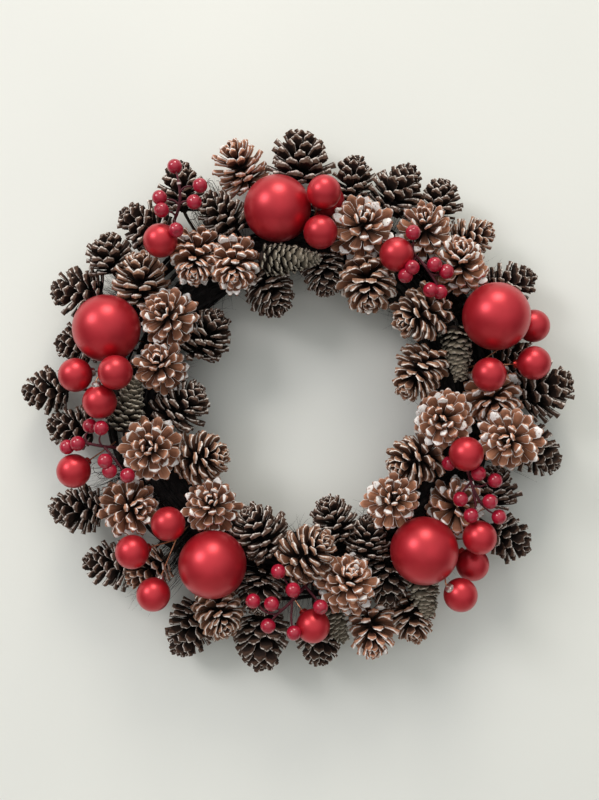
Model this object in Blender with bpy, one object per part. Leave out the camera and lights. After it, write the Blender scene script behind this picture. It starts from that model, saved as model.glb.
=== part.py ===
"""A wall wreath of pine cones on a twig ring, with red baubles and sprays of berries.

Metres, +Z up. The wreath hangs upright: its front faces -Y and its back lies in the plane y = 0.
The origin is the point of the wire loop that bears on the nail, and the ring's centre is below it.
"""

import math
from typing import NamedTuple

import bmesh
import bpy
import numpy as np
from mathutils import Matrix, Vector
from mathutils.bvhtree import BVHTree

MM = 0.001

# Driving sizes
BIG_BAUBLE = 60 * MM
SMALL_BAUBLE = 30 * MM
BERRY = 13.2 * MM
RING_RADIUS = 141 * MM
RING_SECTION = 19 * MM
RING_DEPTH = 17 * MM
RING_STEPS = 36
RING_FLAT_ANGLE = math.acos(RING_DEPTH / RING_SECTION)
RING_DROP = 175 * MM
GAP = 0.3 * MM
WIRE_END_GAP = 0.45 * MM

# Fine parts
WIRE_RADIUS = 0.9 * MM
BIG_WIRE_RADIUS = 1.45 * MM
KNOT_RADIUS = 1.6 * MM
KNOT_SUNK = 1.5 * MM
TIP_RADIUS = 0.4 * MM
STEM_RADIUS = 1.6 * MM
TWIG_RADIUS = 1.0 * MM
CAP_RADIUS = 4.5 * MM
CAP_HEIGHT = 5 * MM
CAP_SUNK = 0.8
WIRE_SUNK = 0.9
SMALL_CAP_RADIUS = 2.6 * MM
SMALL_CAP_HEIGHT = 3 * MM
STALK_RADIUS = 2.4 * MM
LOOP_WIRE_RADIUS = 1.1 * MM
LOOP_WIDTH = 15 * MM
LOOP_DEPTH = 5 * MM
LOOP_ARC_STEPS = 8

# Sides of the round shapes
BIG_BALL_SIDES, BIG_BALL_ROWS = 16, 8
SMALL_BALL_FINENESS, BERRY_FINENESS = 2, 1
BIG_CAP_SIDES, SMALL_CAP_SIDES = 6, 5
THIN_WIRE_SIDES = 3

# Places are read on the front view, whose unit is the size of a big bauble in it
BIG_BAUBLE_UNITS = 68.0
FRONT_UNIT = BIG_BAUBLE / BIG_BAUBLE_UNITS
FRONT_CENTRE = (301.5, 401.5)
VIEW_DISTANCE = 0.9
BAUBLE_DEPTH = 70 * MM

# Shape of a cone: scales in staggered rows, given as shares of its width and length
SCALES_ROUND = 6
WIDEST_AT = 0.38
BASE_SHARE = 0.55
TIP_FALL = 2.4
TIP_ROUND = 0.6
OPEN_CORE, CLOSED_CORE = 0.50, 0.78
OPEN_LIFT, CLOSED_LIFT = 0.70, 0.95
SCALE_SPREAD = 0.34
ROW_HEIGHT = 10.2 * MM
FEWEST_ROWS = 4
LINK_SHARE = 0.2
LINK_RADIUS = 1.6 * MM
STUB = 4 * MM
STEEPEST_STALK = math.radians(85)
ROLL_STEP = 2.4

# Turns round the ring, in degrees, that a cone's wire may take to find a clear way to it
STALK_TURNS = (0, 3, -3, 6, -6, 10, -10, 14, -14, 19, -19, 25, -25)
CLEARER_BY = 0.5 * MM

# Spheres that stand for a cone while the cones settle: place along it and radius by its width
CONE_BEADS = ((0.16, 0.34), (0.40, 0.47), (0.62, 0.45), (0.84, 0.29))
BEAD_STEP = 3 * MM
SETTLE_STEPS = 260
SETTLE_EASE = 0.45
SETTLE_PULL = 0.04
PULL_IN_DEPTH = 0.3
PULL_FADE = 1.4
SETTLE_IN_PLANE = 0.55
TINY = 1e-9
BEAD_GAP = 0.8 * MM
STANDING_GAP = 1.5 * MM
WALL_ROOM = 3 * MM
WIRED_ROOM = 0.88


class Cone(NamedTuple):
    """One cone: its middle on the front view, where its tip points, and its size.

    heading is the tip's direction in the front view, 0 to the right and 90 up; facing is how far
    the tip turns out of the wreath, 90 being straight off the wall; depth is off the wall.
    """

    bunch: int
    x: float
    y: float
    heading: float
    facing: float
    length: float
    width: float
    depth: float
    kind: str


class Spray(NamedTuple):
    """A pick of berries on one stem, with its small bauble; places on the front view."""

    root: tuple
    joint: tuple
    berries: tuple
    bauble: tuple


CONES = (
    Cone(1, 225, 213, 135, 15, 46, 40, 52, "dark"),
    Cone(1, 239, 165, 118, 35, 44, 43, 38, "frosted"),
    Cone(2, 300, 160, 90, 10, 48, 52, 34, "dark"),
    Cone(3, 352, 180, 82, 5, 44, 38, 34, "dark"),
    Cone(3, 398, 190, 58, 5, 48, 44, 34, "dark"),
    Cone(4, 362, 228, 90, 72, 44, 50, 66, "frosted"),
    Cone(5, 440, 200, 80, 5, 37, 36, 32, "dark"),
    Cone(5, 472, 238, 15, 20, 42, 36, 36, "brown"),
    Cone(6, 425, 228, 105, 60, 42, 44, 58, "frosted"),
    Cone(7, 236, 266, -85, 50, 46, 42, 66, "frosted"),
    Cone(7, 194, 257, -92, 45, 48, 42, 66, "frosted"),
    Cone(8, 290, 257, 0, 10, 56, 29, 58, "closed"),
    Cone(9, 271, 292, -60, 20, 46, 42, 40, "dark"),
    Cone(9, 322, 272, -80, 10, 40, 36, 40, "dark"),
    Cone(10, 372, 280, -90, 30, 44, 48, 46, "brown"),
    Cone(11, 460, 262, 100, 55, 46, 44, 60, "frosted"),
    Cone(12, 510, 285, 25, 5, 48, 40, 32, "dark"),
    Cone(13, 428, 302, 205, 35, 50, 46, 56, "brown"),
    Cone(14, 465, 345, -85, 10, 52, 30, 58, "closed"),
    Cone(15, 440, 425, 180, 80, 42, 48, 66, "frosted"),
    Cone(15, 426, 373, 235, 25, 50, 44, 46, "brown"),
    Cone(16, 484, 393, -95, 50, 46, 50, 56, "frosted"),
    Cone(16, 500, 434, 180, 66, 42, 48, 72, "frosted"),
    Cone(17, 515, 360, 10, 5, 40, 36, 30, "dark"),
    Cone(17, 540, 390, 25, 10, 52, 48, 32, "dark"),
    Cone(18, 538, 452, -40, 10, 44, 40, 30, "dark"),
    Cone(19, 415, 466, 200, 30, 48, 44, 42, "brown"),
    Cone(19, 395, 508, 90, 75, 42, 44, 64, "frosted"),
    Cone(20, 446, 502, 70, 60, 44, 48, 50, "frosted"),
    Cone(20, 493, 488, 90, 10, 38, 40, 40, "dark"),
    Cone(21, 508, 538, -35, 0, 44, 38, 32, "dark"),
    Cone(22, 414, 616, -85, 35, 42, 42, 44, "brown"),
    Cone(22, 417, 592, -80, 10, 44, 30, 46, "closed"),
    Cone(23, 372, 627, -88, 40, 48, 43, 48, "frosted"),
    Cone(24, 344, 582, 75, 55, 48, 46, 60, "frosted"),
    Cone(24, 383, 570, -90, 15, 50, 38, 38, "dark"),
    Cone(25, 306, 550, 40, 30, 50, 45, 62, "brown"),
    Cone(26, 343, 527, 115, 15, 44, 38, 38, "dark"),
    Cone(26, 368, 532, 85, 10, 42, 34, 34, "dark"),
    Cone(27, 259, 533, 120, 20, 48, 44, 46, "dark"),
    Cone(28, 211, 514, 95, 70, 42, 44, 62, "frosted"),
    Cone(29, 203, 457, 10, 25, 48, 44, 52, "brown"),
    Cone(30, 178, 406, 45, 15, 48, 44, 48, "dark"),
    Cone(31, 167, 316, 135, 75, 42, 46, 67, "frosted"),
    Cone(31, 207, 334, 60, 20, 48, 42, 46, "dark"),
    Cone(32, 159, 367, 100, 75, 42, 42, 63, "frosted"),
    Cone(33, 132, 403, 75, 10, 54, 31, 60, "closed"),
    Cone(34, 148, 450, 90, 85, 42, 50, 68, "frosted"),
    Cone(35, 132, 508, 0, 60, 46, 48, 58, "frosted"),
    Cone(35, 77, 509, 180, 10, 48, 40, 36, "dark"),
    Cone(36, 72, 428, 175, 5, 44, 38, 32, "dark"),
    Cone(36, 47, 391, 185, 0, 44, 38, 28, "dark"),
    Cone(37, 80, 342, 185, 5, 44, 38, 32, "dark"),
    Cone(37, 80, 290, 175, 5, 48, 42, 36, "dark"),
    Cone(38, 112, 256, 100, 10, 37, 40, 38, "dark"),
    Cone(38, 141, 279, 90, 20, 44, 46, 52, "brown"),
    Cone(39, 141, 228, 150, 5, 48, 42, 36, "dark"),
    Cone(39, 182, 188, 95, 5, 48, 38, 36, "dark"),
    Cone(40, 112, 566, 175, 5, 50, 40, 34, "dark"),
    Cone(40, 147, 572, 215, 10, 40, 36, 44, "brown"),
    Cone(41, 192, 630, 240, 5, 52, 42, 34, "dark"),
    Cone(41, 222, 610, -60, 50, 44, 44, 52, "brown"),
    Cone(42, 262, 640, -85, 10, 52, 48, 36, "dark"),
    Cone(42, 272, 592, -95, 20, 40, 38, 46, "dark"),
    Cone(43, 320, 640, -80, 5, 46, 40, 36, "dark"),
    Cone(43, 340, 616, -60, 10, 46, 28, 50, "closed"),
)

# Big baubles: middle on the front view and depth
BIG_BAUBLES = (
    (277.5, 208.5, 60),
    (106.5, 328.5, 67),
    (496.4, 316.3, 70),
    (212.4, 564.5, 72),
    (424.2, 550.8, 72),
)

# Groups of small baubles: the three of each, then the knot of their wires
TRIOS = (
    ((324, 192, 78), (328, 201, 48), (320.5, 232, 76), (306, 236, 46)),
    ((75.3, 375, 74), (115.3, 372.4, 91), (99.6, 401.7, 80), (128, 366, 52)),
    ((533.5, 326, 38), (534, 363, 66), (489.3, 374.5, 80), (474, 366, 48)),
    ((168, 524, 82), (132.2, 552, 76), (153.4, 594.5, 70), (176, 540, 48)),
    ((479.7, 537.5, 76), (472.5, 564.5, 50), (460.6, 595, 72), (450, 540, 42)),
)

SPRAYS = (
    Spray(
        (197, 231, 44),
        (180, 207, 78),
        (
            (174.7, 166.5, 78),
            (200, 185.5, 82),
            (194, 202, 86),
            (159.5, 197.5, 82),
            (161.5, 210, 86),
            (176, 230, 88),
        ),
        (160.3, 240.5, 78),
    ),
    Spray(
        (407, 262, 44),
        (420, 264, 80),
        (
            (413, 232.5, 88),
            (434.5, 264.5, 86),
            (446.5, 271.5, 84),
            (430.5, 290, 86),
            (440, 292, 80),
            (412, 267.5, 88),
            (405.5, 275.5, 84),
        ),
        (396.5, 254.3, 80),
    ),
    Spray(
        (466, 468, 44),
        (475, 487, 80),
        (
            (449, 463.5, 66),
            (478.5, 473.5, 86),
            (495, 480.5, 82),
            (460.5, 499, 86),
            (490, 501.5, 84),
            (471, 515.5, 84),
            (499, 517, 78),
        ),
        (466.3, 454, 90),
    ),
    Spray(
        (284, 584, 44),
        (287, 605, 80),
        (
            (278.5, 571.5, 82),
            (293, 590, 88),
            (253, 601, 82),
            (271.5, 604, 88),
            (268, 626, 84),
            (294, 633, 82),
            (320.5, 607, 84),
        ),
        (313, 626, 72),
    ),
    Spray(
        (116, 442, 44),
        (100, 452, 78),
        (
            (90, 426, 70),
            (101, 428, 84),
            (67, 447, 78),
            (77.5, 443.5, 84),
            (105, 461, 88),
            (109.5, 471, 84),
            (127.5, 475.5, 84),
        ),
        (73.7, 471, 74),
    ),
)

# Colour, roughness and metallic value of each finish
FINISHES = {
    "dark_twig": ((0.030, 0.022, 0.018), 0.9, 0.0),
    "copper_wire": ((0.35, 0.20, 0.12), 0.4, 0.8),
    "satin_red": ((0.45, 0.012, 0.016), 0.32, 0.0),
    "glossy_berry": ((0.38, 0.004, 0.020), 0.2, 0.0),
    "frosted": ((0.40, 0.27, 0.19), 0.8, 0.0),
    "brown": ((0.20, 0.11, 0.070), 0.75, 0.0),
    "dark": ((0.090, 0.055, 0.040), 0.8, 0.0),
    "closed": ((0.20, 0.17, 0.125), 0.8, 0.0),
}


def clear_scene():
    """Remove every object that is there."""
    for obj in list(bpy.data.objects):
        bpy.data.objects.remove(obj)


def material(name, colour, roughness, metallic):
    """A plain Principled material."""
    mat = bpy.data.materials.new(name)
    mat.use_nodes = True
    shader = mat.node_tree.nodes["Principled BSDF"]
    shader.inputs["Base Color"].default_value = (*colour, 1.0)
    shader.inputs["Roughness"].default_value = roughness
    shader.inputs["Metallic"].default_value = metallic
    return mat


def front(x, y, depth):
    """The point at a depth, in millimetres off the wall, that the front view shows at x, y."""
    scale = FRONT_UNIT * (VIEW_DISTANCE + BAUBLE_DEPTH - depth * MM) / VIEW_DISTANCE
    across = (x - FRONT_CENTRE[0]) * scale
    up = (FRONT_CENTRE[1] - y) * scale
    return Vector((across, -depth * MM, up))


def tip_direction(cone):
    """The way from a cone's base to its tip."""
    heading = math.radians(cone.heading)
    facing = math.radians(cone.facing)
    flat = math.cos(facing)
    return Vector((flat * math.cos(heading), -math.sin(facing), flat * math.sin(heading)))


def ring_middle(point, turn=0.0):
    """The point of the ring's centre line nearest to a point, turned on by an angle."""
    angle = math.atan2(point.z, point.x) + turn
    return Vector((RING_RADIUS * math.cos(angle), -RING_DEPTH, RING_RADIUS * math.sin(angle)))


def new_object(name, mesh, mat, parent):
    """An object of a mesh, with one material, under a parent."""
    obj = bpy.data.objects.new(name, mesh)
    bpy.context.scene.collection.objects.link(obj)
    obj.parent = parent
    mesh.materials.clear()
    mesh.materials.append(mat)
    return obj


def mesh_of(points, faces):
    """A mesh of points and faces."""
    mesh = bpy.data.meshes.new("shape")
    mesh.from_pydata([tuple(p) for p in points], [], faces)
    mesh.update()
    return mesh


def ring_mesh():
    """The twig ring: bundled strands that turn round it, cut flat where it meets the wall."""
    sides = 12
    strands, turns, relief = 4, 9, 0.06
    section = [RING_FLAT_ANGLE]
    free = 2 * math.pi - 2 * RING_FLAT_ANGLE
    section += [RING_FLAT_ANGLE + free * i / (sides - 1) for i in range(1, sides)]
    points = []
    for step in range(RING_STEPS):
        along = 2 * math.pi * step / RING_STEPS
        for side, angle in enumerate(section):
            wave = math.cos(strands * angle + turns * along)
            flat = side in (0, sides - 1)
            radius = RING_SECTION if flat else RING_SECTION * (1 - relief + relief * wave)
            out = RING_RADIUS + radius * math.sin(angle)
            back = 0.0 if flat else radius * math.cos(angle) - RING_DEPTH
            points.append((out * math.cos(along), back, out * math.sin(along)))
    faces = []
    for step in range(RING_STEPS):
        ahead = (step + 1) % RING_STEPS
        for side in range(sides):
            beside = (side + 1) % sides
            a, b = step * sides + side, ahead * sides + side
            c, d = ahead * sides + beside, step * sides + beside
            faces += [(a, b, c), (a, c, d)]
    return mesh_of(points, faces)


def ball_mesh(diameter, round_steps, rows):
    """A sphere with its poles up and down."""
    bm = bmesh.new()
    bmesh.ops.create_uvsphere(bm, u_segments=round_steps, v_segments=rows, radius=diameter / 2)
    mesh = bpy.data.meshes.new("ball")
    bm.to_mesh(mesh)
    bm.free()
    mesh.shade_smooth()
    return mesh


def bead_mesh(diameter, finer):
    """A small sphere of equal triangles."""
    bm = bmesh.new()
    bmesh.ops.create_icosphere(bm, subdivisions=finer, radius=diameter / 2)
    mesh = bpy.data.meshes.new("bead")
    bm.to_mesh(mesh)
    bm.free()
    mesh.shade_smooth()
    return mesh


def rod_mesh(start, end, radius, end_radius=None, sides=5):
    """A straight rod between two points."""
    way = end - start
    bm = bmesh.new()
    bmesh.ops.create_cone(
        bm,
        cap_ends=True,
        segments=sides,
        radius1=radius,
        radius2=radius if end_radius is None else end_radius,
        depth=way.length,
    )
    turn = way.to_track_quat("Z", "Y").to_matrix().to_4x4()
    bmesh.ops.transform(bm, matrix=Matrix.Translation((start + end) / 2) @ turn, verts=bm.verts)
    mesh = bpy.data.meshes.new("rod")
    bm.to_mesh(mesh)
    bm.free()
    return mesh


def envelope(share):
    """How wide a cone is at a share of its length, against its widest."""
    if share < WIDEST_AT:
        return 1 - (1 - BASE_SHARE) * ((WIDEST_AT - share) / WIDEST_AT) ** 2
    return max(0.0, 1 - ((share - WIDEST_AT) / (1 - WIDEST_AT)) ** TIP_FALL) ** TIP_ROUND


def cone_mesh(cone, foot_point):
    """A pine cone along +Z about its middle: staggered scales round a core, and its stalk."""
    length, half_width = cone.length * MM, cone.width * MM / 2
    core = CLOSED_CORE if cone.kind == "closed" else OPEN_CORE
    lift = CLOSED_LIFT if cone.kind == "closed" else OPEN_LIFT
    rows = max(FEWEST_ROWS, round(length / ROW_HEIGHT))
    pitch = 2 * math.pi / SCALES_ROUND
    rise = length / (rows + 1)

    def height(row):
        return rise * row - length / 2

    def at(radius, angle, z):
        return (radius * math.cos(angle), radius * math.sin(angle), z)

    points = []
    valley = {}
    for row in range(rows + 1):
        radius = STALK_RADIUS if row == 0 else half_width * core * envelope(row / (rows + 1))
        for j in range(SCALES_ROUND):
            valley[row, j] = len(points)
            points.append(at(radius, (j + 0.5 * (row % 2)) * pitch, height(row)))
    faces = []
    for row in range(1, rows):
        z = height(row) + lift * rise
        radius = half_width * envelope((z + length / 2) / length)
        for j in range(SCALES_ROUND):
            middle = (j + 0.5 + 0.5 * (row % 2)) * pitch
            below = (j + row % 2) % SCALES_ROUND
            left, right = valley[row, j], valley[row, (j + 1) % SCALES_ROUND]
            bottom, top = valley[row - 1, below], valley[row + 1, below]
            first = len(points)
            points.append(at(radius, middle - SCALE_SPREAD * pitch, z))
            points.append(at(radius, middle + SCALE_SPREAD * pitch, z))
            faces += [
                (bottom, first + 1, first),
                (bottom, first, left),
                (bottom, right, first + 1),
                (top, first, first + 1),
                (top, left, first),
                (top, first + 1, right),
            ]
    foot, apex = len(points), len(points) + 1
    points.append(tuple(foot_point))
    points.append((0.0, 0.0, length / 2))
    for j in range(SCALES_ROUND):
        ahead = (j + 1) % SCALES_ROUND
        faces.append((valley[0, ahead], valley[0, j], foot))
        faces.append((valley[0, j], valley[0, ahead], valley[1, j]))
        faces.append((valley[rows, j], valley[rows, ahead], apex))
        inner = valley[rows - 1, (j + rows % 2) % SCALES_ROUND]
        faces.append((valley[rows, ahead], valley[rows, j], inner))
    return mesh_of(points, faces)


def cone_beads(cone, middle):
    """The spheres that stand for a cone, as rows of x, y, z and radius."""
    way = tip_direction(cone)
    rows = []
    for share, radius in CONE_BEADS:
        centre = middle + way * cone.length * MM * (share - 0.5)
        rows.append((*centre, radius * cone.width * MM))
    return rows


def beads_along(start, end, radius):
    """Spheres along a wire."""
    count = max(2, int((end - start).length / BEAD_STEP))
    return [(*start.lerp(end, i / count), radius) for i in range(count + 1)]


def standing_beads():
    """The spheres of what doesn't move while the cones settle: baubles, berries and wires."""
    rows = []
    for x, y, depth in BIG_BAUBLES:
        rows.append((*front(x, y, depth), BIG_BAUBLE / 2))
    for trio in TRIOS:
        knot = front(*trio[-1])
        rows += beads_along(knot, ring_middle(knot), WIRE_RADIUS)
        for place in trio[:-1]:
            ball = front(*place)
            rows.append((*ball, SMALL_BAUBLE / 2))
            rows += beads_along(knot, ball, WIRE_RADIUS)
    for spray in SPRAYS:
        root, joint, bauble = front(*spray.root), front(*spray.joint), front(*spray.bauble)
        rows += beads_along(root, ring_middle(root), STEM_RADIUS)
        rows += beads_along(root, joint, STEM_RADIUS)
        rows += beads_along(root, bauble, WIRE_RADIUS)
        rows.append((*bauble, SMALL_BAUBLE / 2))
        for place in spray.berries:
            berry = front(*place)
            rows.append((*berry, BERRY / 2))
            rows += beads_along(joint, berry, TWIG_RADIUS)
    return np.array(rows)


def settle():
    """The middle of each cone, moved until no cone presses into a neighbour."""
    start = np.array([front(c.x, c.y, c.depth) for c in CONES])
    offsets = np.array([[b[:3] for b in cone_beads(c, Vector((0, 0, 0)))] for c in CONES])
    radii = np.array([[b[3] for b in cone_beads(c, Vector((0, 0, 0)))] for c in CONES])
    per_cone = len(CONE_BEADS)
    owner = np.repeat(np.arange(len(CONES)), per_cone)
    size = radii.reshape(-1)
    bunch = np.array([c.bunch for c in CONES])[owner]
    wired = bunch[:, None] == bunch[None, :]
    room = np.where(wired, WIRED_ROOM, 1.0) * (size[:, None] + size[None, :] + BEAD_GAP)
    room *= owner[:, None] != owner[None, :]
    standing = standing_beads()
    place = start.copy()
    for step in range(SETTLE_STEPS):
        beads = (place[:, None, :] + offsets).reshape(-1, 3)
        apart = beads[:, None, :] - beads[None, :, :]
        far = np.linalg.norm(apart, axis=2) + TINY
        press = np.clip(room - far, 0, None)
        push = (apart / far[:, :, None] * press[:, :, None] * 0.5).sum(axis=1)
        apart = beads[:, None, :] - standing[None, :, :3]
        far = np.linalg.norm(apart, axis=2) + TINY
        press = np.clip(size[:, None] + standing[None, :, 3] + STANDING_GAP - far, 0, None)
        push += (apart / far[:, :, None] * press[:, :, None]).max(axis=1)
        push += (apart / far[:, :, None] * press[:, :, None]).min(axis=1)
        out = np.hypot(beads[:, 0], beads[:, 2])
        across, back = out - RING_RADIUS, beads[:, 1] + RING_DEPTH
        far = np.hypot(across, back) + TINY
        press = np.clip(size + RING_SECTION + BEAD_GAP - far, 0, None)
        push[:, 0] += press * across / far * beads[:, 0] / out
        push[:, 2] += press * across / far * beads[:, 2] / out
        push[:, 1] += press * back / far
        push[:, 1] -= np.clip(beads[:, 1] + size + WALL_ROOM, 0, None)
        shift = np.zeros_like(place)
        np.add.at(shift, owner, push)
        shift *= (SETTLE_IN_PLANE, 1.0, SETTLE_IN_PLANE)
        pull = SETTLE_PULL * max(0.0, 1 - PULL_FADE * step / SETTLE_STEPS)
        place += SETTLE_EASE * shift + pull * (start - place) * (1.0, PULL_IN_DEPTH, 1.0)
    return [Vector(p) for p in np.round(place, 4)]


def surface_point(tree, start, target):
    """Where a wire from start towards target stops, the gap short of the ring."""
    way = (target - start).normalized()
    hit = tree.ray_cast(start, way)[0]
    return hit - way * WIRE_END_GAP


def clearance(start, end, beads):
    """The least room between a wire and the spheres of other pieces."""
    way = end - start
    least = 1.0
    for x, y, z, radius in beads:
        centre = Vector((x, y, z))
        share = (centre - start).dot(way) / way.length_squared
        nearest = start + way * min(1.0, max(0.0, share))
        least = min(least, (centre - nearest).length - radius)
    return least


def fuse(name, shapes, mat, parent):
    """One closed body of several shapes, under one name."""
    group = bpy.data.collections.new(name)
    bpy.context.scene.collection.children.link(group)
    base = new_object(name, shapes[0], mat, parent)
    for shape in shapes[1:]:
        tool = new_object("tool", shape, mat, parent)
        bpy.context.scene.collection.objects.unlink(tool)
        group.objects.link(tool)
    union = base.modifiers.new("union", "BOOLEAN")
    union.operation = "UNION"
    union.operand_type = "COLLECTION"
    union.collection = group
    union.solver = "MANIFOLD"
    bpy.context.view_layer.update()
    shaped = bpy.data.meshes.new_from_object(
        base.evaluated_get(bpy.context.evaluated_depsgraph_get())
    )
    base.modifiers.remove(union)
    base.data = shaped
    for tool in list(group.objects):
        bpy.data.objects.remove(tool)
    bpy.data.collections.remove(group)
    return base


def moved(mesh, matrix):
    """The mesh itself, after a move."""
    mesh.transform(matrix)
    return mesh


def stalk_end(base, others, tree):
    """Where the wire of a cone meets the ring, on the clearest way there."""
    best = None
    for turn in STALK_TURNS:
        end = surface_point(tree, base, ring_middle(base, math.radians(turn)))
        room = clearance(base, end, others)
        if best is None or room > best[0] + CLEARER_BY:
            best = (room, end)
        if room > STALK_RADIUS:
            break
    return best[1]


def build_bunch(number, members, places, all_beads, tree, parent, mats):
    """A cone, or neighbouring cones wired to each other, on a wire that ends at the ring."""
    others = [row for i, rows in all_beads.items() if i not in members for row in rows]
    shapes = []
    cores = []
    for index in members:
        cone, middle = CONES[index], places[index]
        way = tip_direction(cone)
        turned = way.to_track_quat("Z", "Y").to_matrix().to_4x4()
        roll = Matrix.Rotation(index * ROLL_STEP, 4, "Z")
        matrix = Matrix.Translation(middle) @ turned @ roll
        base = middle - way * cone.length * MM / 2
        core = base + way * cone.length * MM * LINK_SHARE
        end = stub = base - way * STUB
        if not cores:
            end = stalk_end(base, others, tree)
        if (end - base).angle(-way) > STEEPEST_STALK:
            shapes.append(rod_mesh(core, end, LINK_RADIUS, TIP_RADIUS, sides=THIN_WIRE_SIDES))
            end = stub
        shapes.append(moved(cone_mesh(cone, matrix.inverted() @ end), matrix))
        cores.append(core)
    shapes += [rod_mesh(core, cores[0], LINK_RADIUS, sides=THIN_WIRE_SIDES) for core in cores[1:]]
    kind = CONES[members[0]].kind
    label = f"pine_cone_{number:02d}" if len(members) == 1 else f"pine_cones_{number:02d}"
    if len(shapes) == 1:
        return new_object(label, shapes[0], mats[kind], parent)
    return fuse(label, shapes, mats[kind], parent)


def build_big_bauble(number, place, tree, parent, mat):
    """A big bauble with its cap, on a wire that ends at the ring."""
    centre = front(*place)
    end = surface_point(tree, centre, ring_middle(centre))
    way = (end - centre).normalized()
    radius = BIG_BAUBLE / 2
    cap_end = centre + way * (radius + CAP_HEIGHT)
    shapes = [
        moved(ball_mesh(BIG_BAUBLE, BIG_BALL_SIDES, BIG_BALL_ROWS), Matrix.Translation(centre)),
        rod_mesh(centre + way * radius * CAP_SUNK, cap_end, CAP_RADIUS, sides=BIG_CAP_SIDES),
        rod_mesh(centre + way * radius * WIRE_SUNK, end, BIG_WIRE_RADIUS, TIP_RADIUS),
    ]
    return fuse(f"big_bauble_{number}", shapes, mat, parent)


def small_bauble_shapes(centre, knot):
    """A small bauble with its cap, and its wire to the knot."""
    way = (knot - centre).normalized()
    radius = SMALL_BAUBLE / 2
    return [
        moved(bead_mesh(SMALL_BAUBLE, SMALL_BALL_FINENESS), Matrix.Translation(centre)),
        rod_mesh(
            centre + way * radius * CAP_SUNK,
            centre + way * (radius + SMALL_CAP_HEIGHT),
            SMALL_CAP_RADIUS,
            sides=SMALL_CAP_SIDES,
        ),
        rod_mesh(centre + way * radius * WIRE_SUNK, knot, WIRE_RADIUS, sides=THIN_WIRE_SIDES),
    ]


def build_trio(number, trio, tree, parent, mat):
    """Three small baubles whose wires are twisted together at a knot and end at the ring."""
    knot = front(*trio[-1])
    end = surface_point(tree, knot, ring_middle(knot))
    above = knot - (end - knot).normalized() * KNOT_SUNK
    shapes = [rod_mesh(above, end, KNOT_RADIUS, TIP_RADIUS)]
    for place in trio[:-1]:
        shapes += small_bauble_shapes(front(*place), knot)
    return fuse(f"bauble_trio_{number}", shapes, mat, parent)


def build_spray(number, spray, tree, parent, mat):
    """A pick: stem, branches with their berries, and one small bauble, on a wire to the ring."""
    root, joint = front(*spray.root), front(*spray.joint)
    end = surface_point(tree, root, ring_middle(root))
    above = root - (end - root).normalized() * KNOT_SUNK
    shapes = [
        rod_mesh(above, end, STEM_RADIUS, TIP_RADIUS),
        rod_mesh(root, joint, STEM_RADIUS),
    ]
    shapes += small_bauble_shapes(front(*spray.bauble), root)
    for place in spray.berries:
        berry = front(*place)
        shapes.append(moved(bead_mesh(BERRY, BERRY_FINENESS), Matrix.Translation(berry)))
        shapes.append(rod_mesh(joint, berry, TWIG_RADIUS, sides=THIN_WIRE_SIDES))
    return fuse(f"berry_spray_{number}", shapes, mat, parent)


def build_hanging_loop(tree, parent, mat):
    """The wire loop behind the top of the ring, open below where it meets the ring."""
    rise = RING_DROP + LOOP_WIRE_RADIUS
    half = LOOP_WIDTH / 2
    start = Vector((0, -LOOP_DEPTH, rise - half))
    reach = LOOP_WIRE_RADIUS
    hits = [
        tree.ray_cast(Vector((side * half + dx, dy - LOOP_DEPTH, rise)), Vector((0, 0, -1)))[0].z
        for side in (-1, 1)
        for dx in (-reach, 0, reach)
        for dy in (-reach, 0, reach)
    ]
    bottom = max(hits) + GAP
    points = [Vector((-half, -LOOP_DEPTH, bottom))]
    for i in range(LOOP_ARC_STEPS + 1):
        angle = math.pi * (1 - i / LOOP_ARC_STEPS)
        points.append(start + Vector((half * math.cos(angle), 0, half * math.sin(angle))))
    points.append(Vector((half, -LOOP_DEPTH, bottom)))
    curve = bpy.data.curves.new("hanging_loop", "CURVE")
    curve.dimensions = "3D"
    line = curve.splines.new("POLY")
    line.points.add(len(points) - 1)
    for point, place in zip(line.points, points):
        point.co = (*place, 1.0)
    curve.bevel_depth = LOOP_WIRE_RADIUS
    curve.bevel_resolution = 0
    curve.use_fill_caps = True
    obj = bpy.data.objects.new("hanging_loop", curve)
    bpy.context.scene.collection.objects.link(obj)
    obj.parent = parent
    curve.materials.append(mat)
    return obj


def main():
    """Build the wreath."""
    clear_scene()
    centre = bpy.data.objects.new("wreath_centre", None)
    centre.location = (0.0, 0.0, -RING_DROP)
    bpy.context.scene.collection.objects.link(centre)

    mats = {name: material(name, *finish) for name, finish in FINISHES.items()}
    ring = new_object("twig_ring", ring_mesh(), mats["dark_twig"], centre)
    tree = BVHTree.FromPolygons(
        [v.co for v in ring.data.vertices], [tuple(p.vertices) for p in ring.data.polygons]
    )
    build_hanging_loop(tree, centre, mats["copper_wire"])
    for number, place in enumerate(BIG_BAUBLES, 1):
        build_big_bauble(number, place, tree, centre, mats["satin_red"])
    for number, trio in enumerate(TRIOS, 1):
        build_trio(number, trio, tree, centre, mats["satin_red"])
    for number, spray in enumerate(SPRAYS, 1):
        build_spray(number, spray, tree, centre, mats["glossy_berry"])

    places = settle()
    all_beads = {i: cone_beads(c, places[i]) for i, c in enumerate(CONES)}
    all_beads[-1] = [tuple(row) for row in standing_beads()]
    for number in sorted({c.bunch for c in CONES}):
        members = [i for i, c in enumerate(CONES) if c.bunch == number]
        build_bunch(number, members, places, all_beads, tree, centre, mats)


main()
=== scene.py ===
"""A wall wreath of open pine cones on a dark twig ring, with red baubles and sprays of red berries.

Metres, +Z up. The wreath hangs upright against the wall, which is the plane y = 0, and its front
faces -Y. The origin is the point of the wire loop that bears on the nail.
"""

import logging
import math
from contextlib import contextmanager
from dataclasses import dataclass, replace
from enum import Enum
from typing import Callable, Iterator, NamedTuple, Sequence

import bmesh
import bpy
import numpy as np
from mathutils import Matrix, Vector

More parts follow.
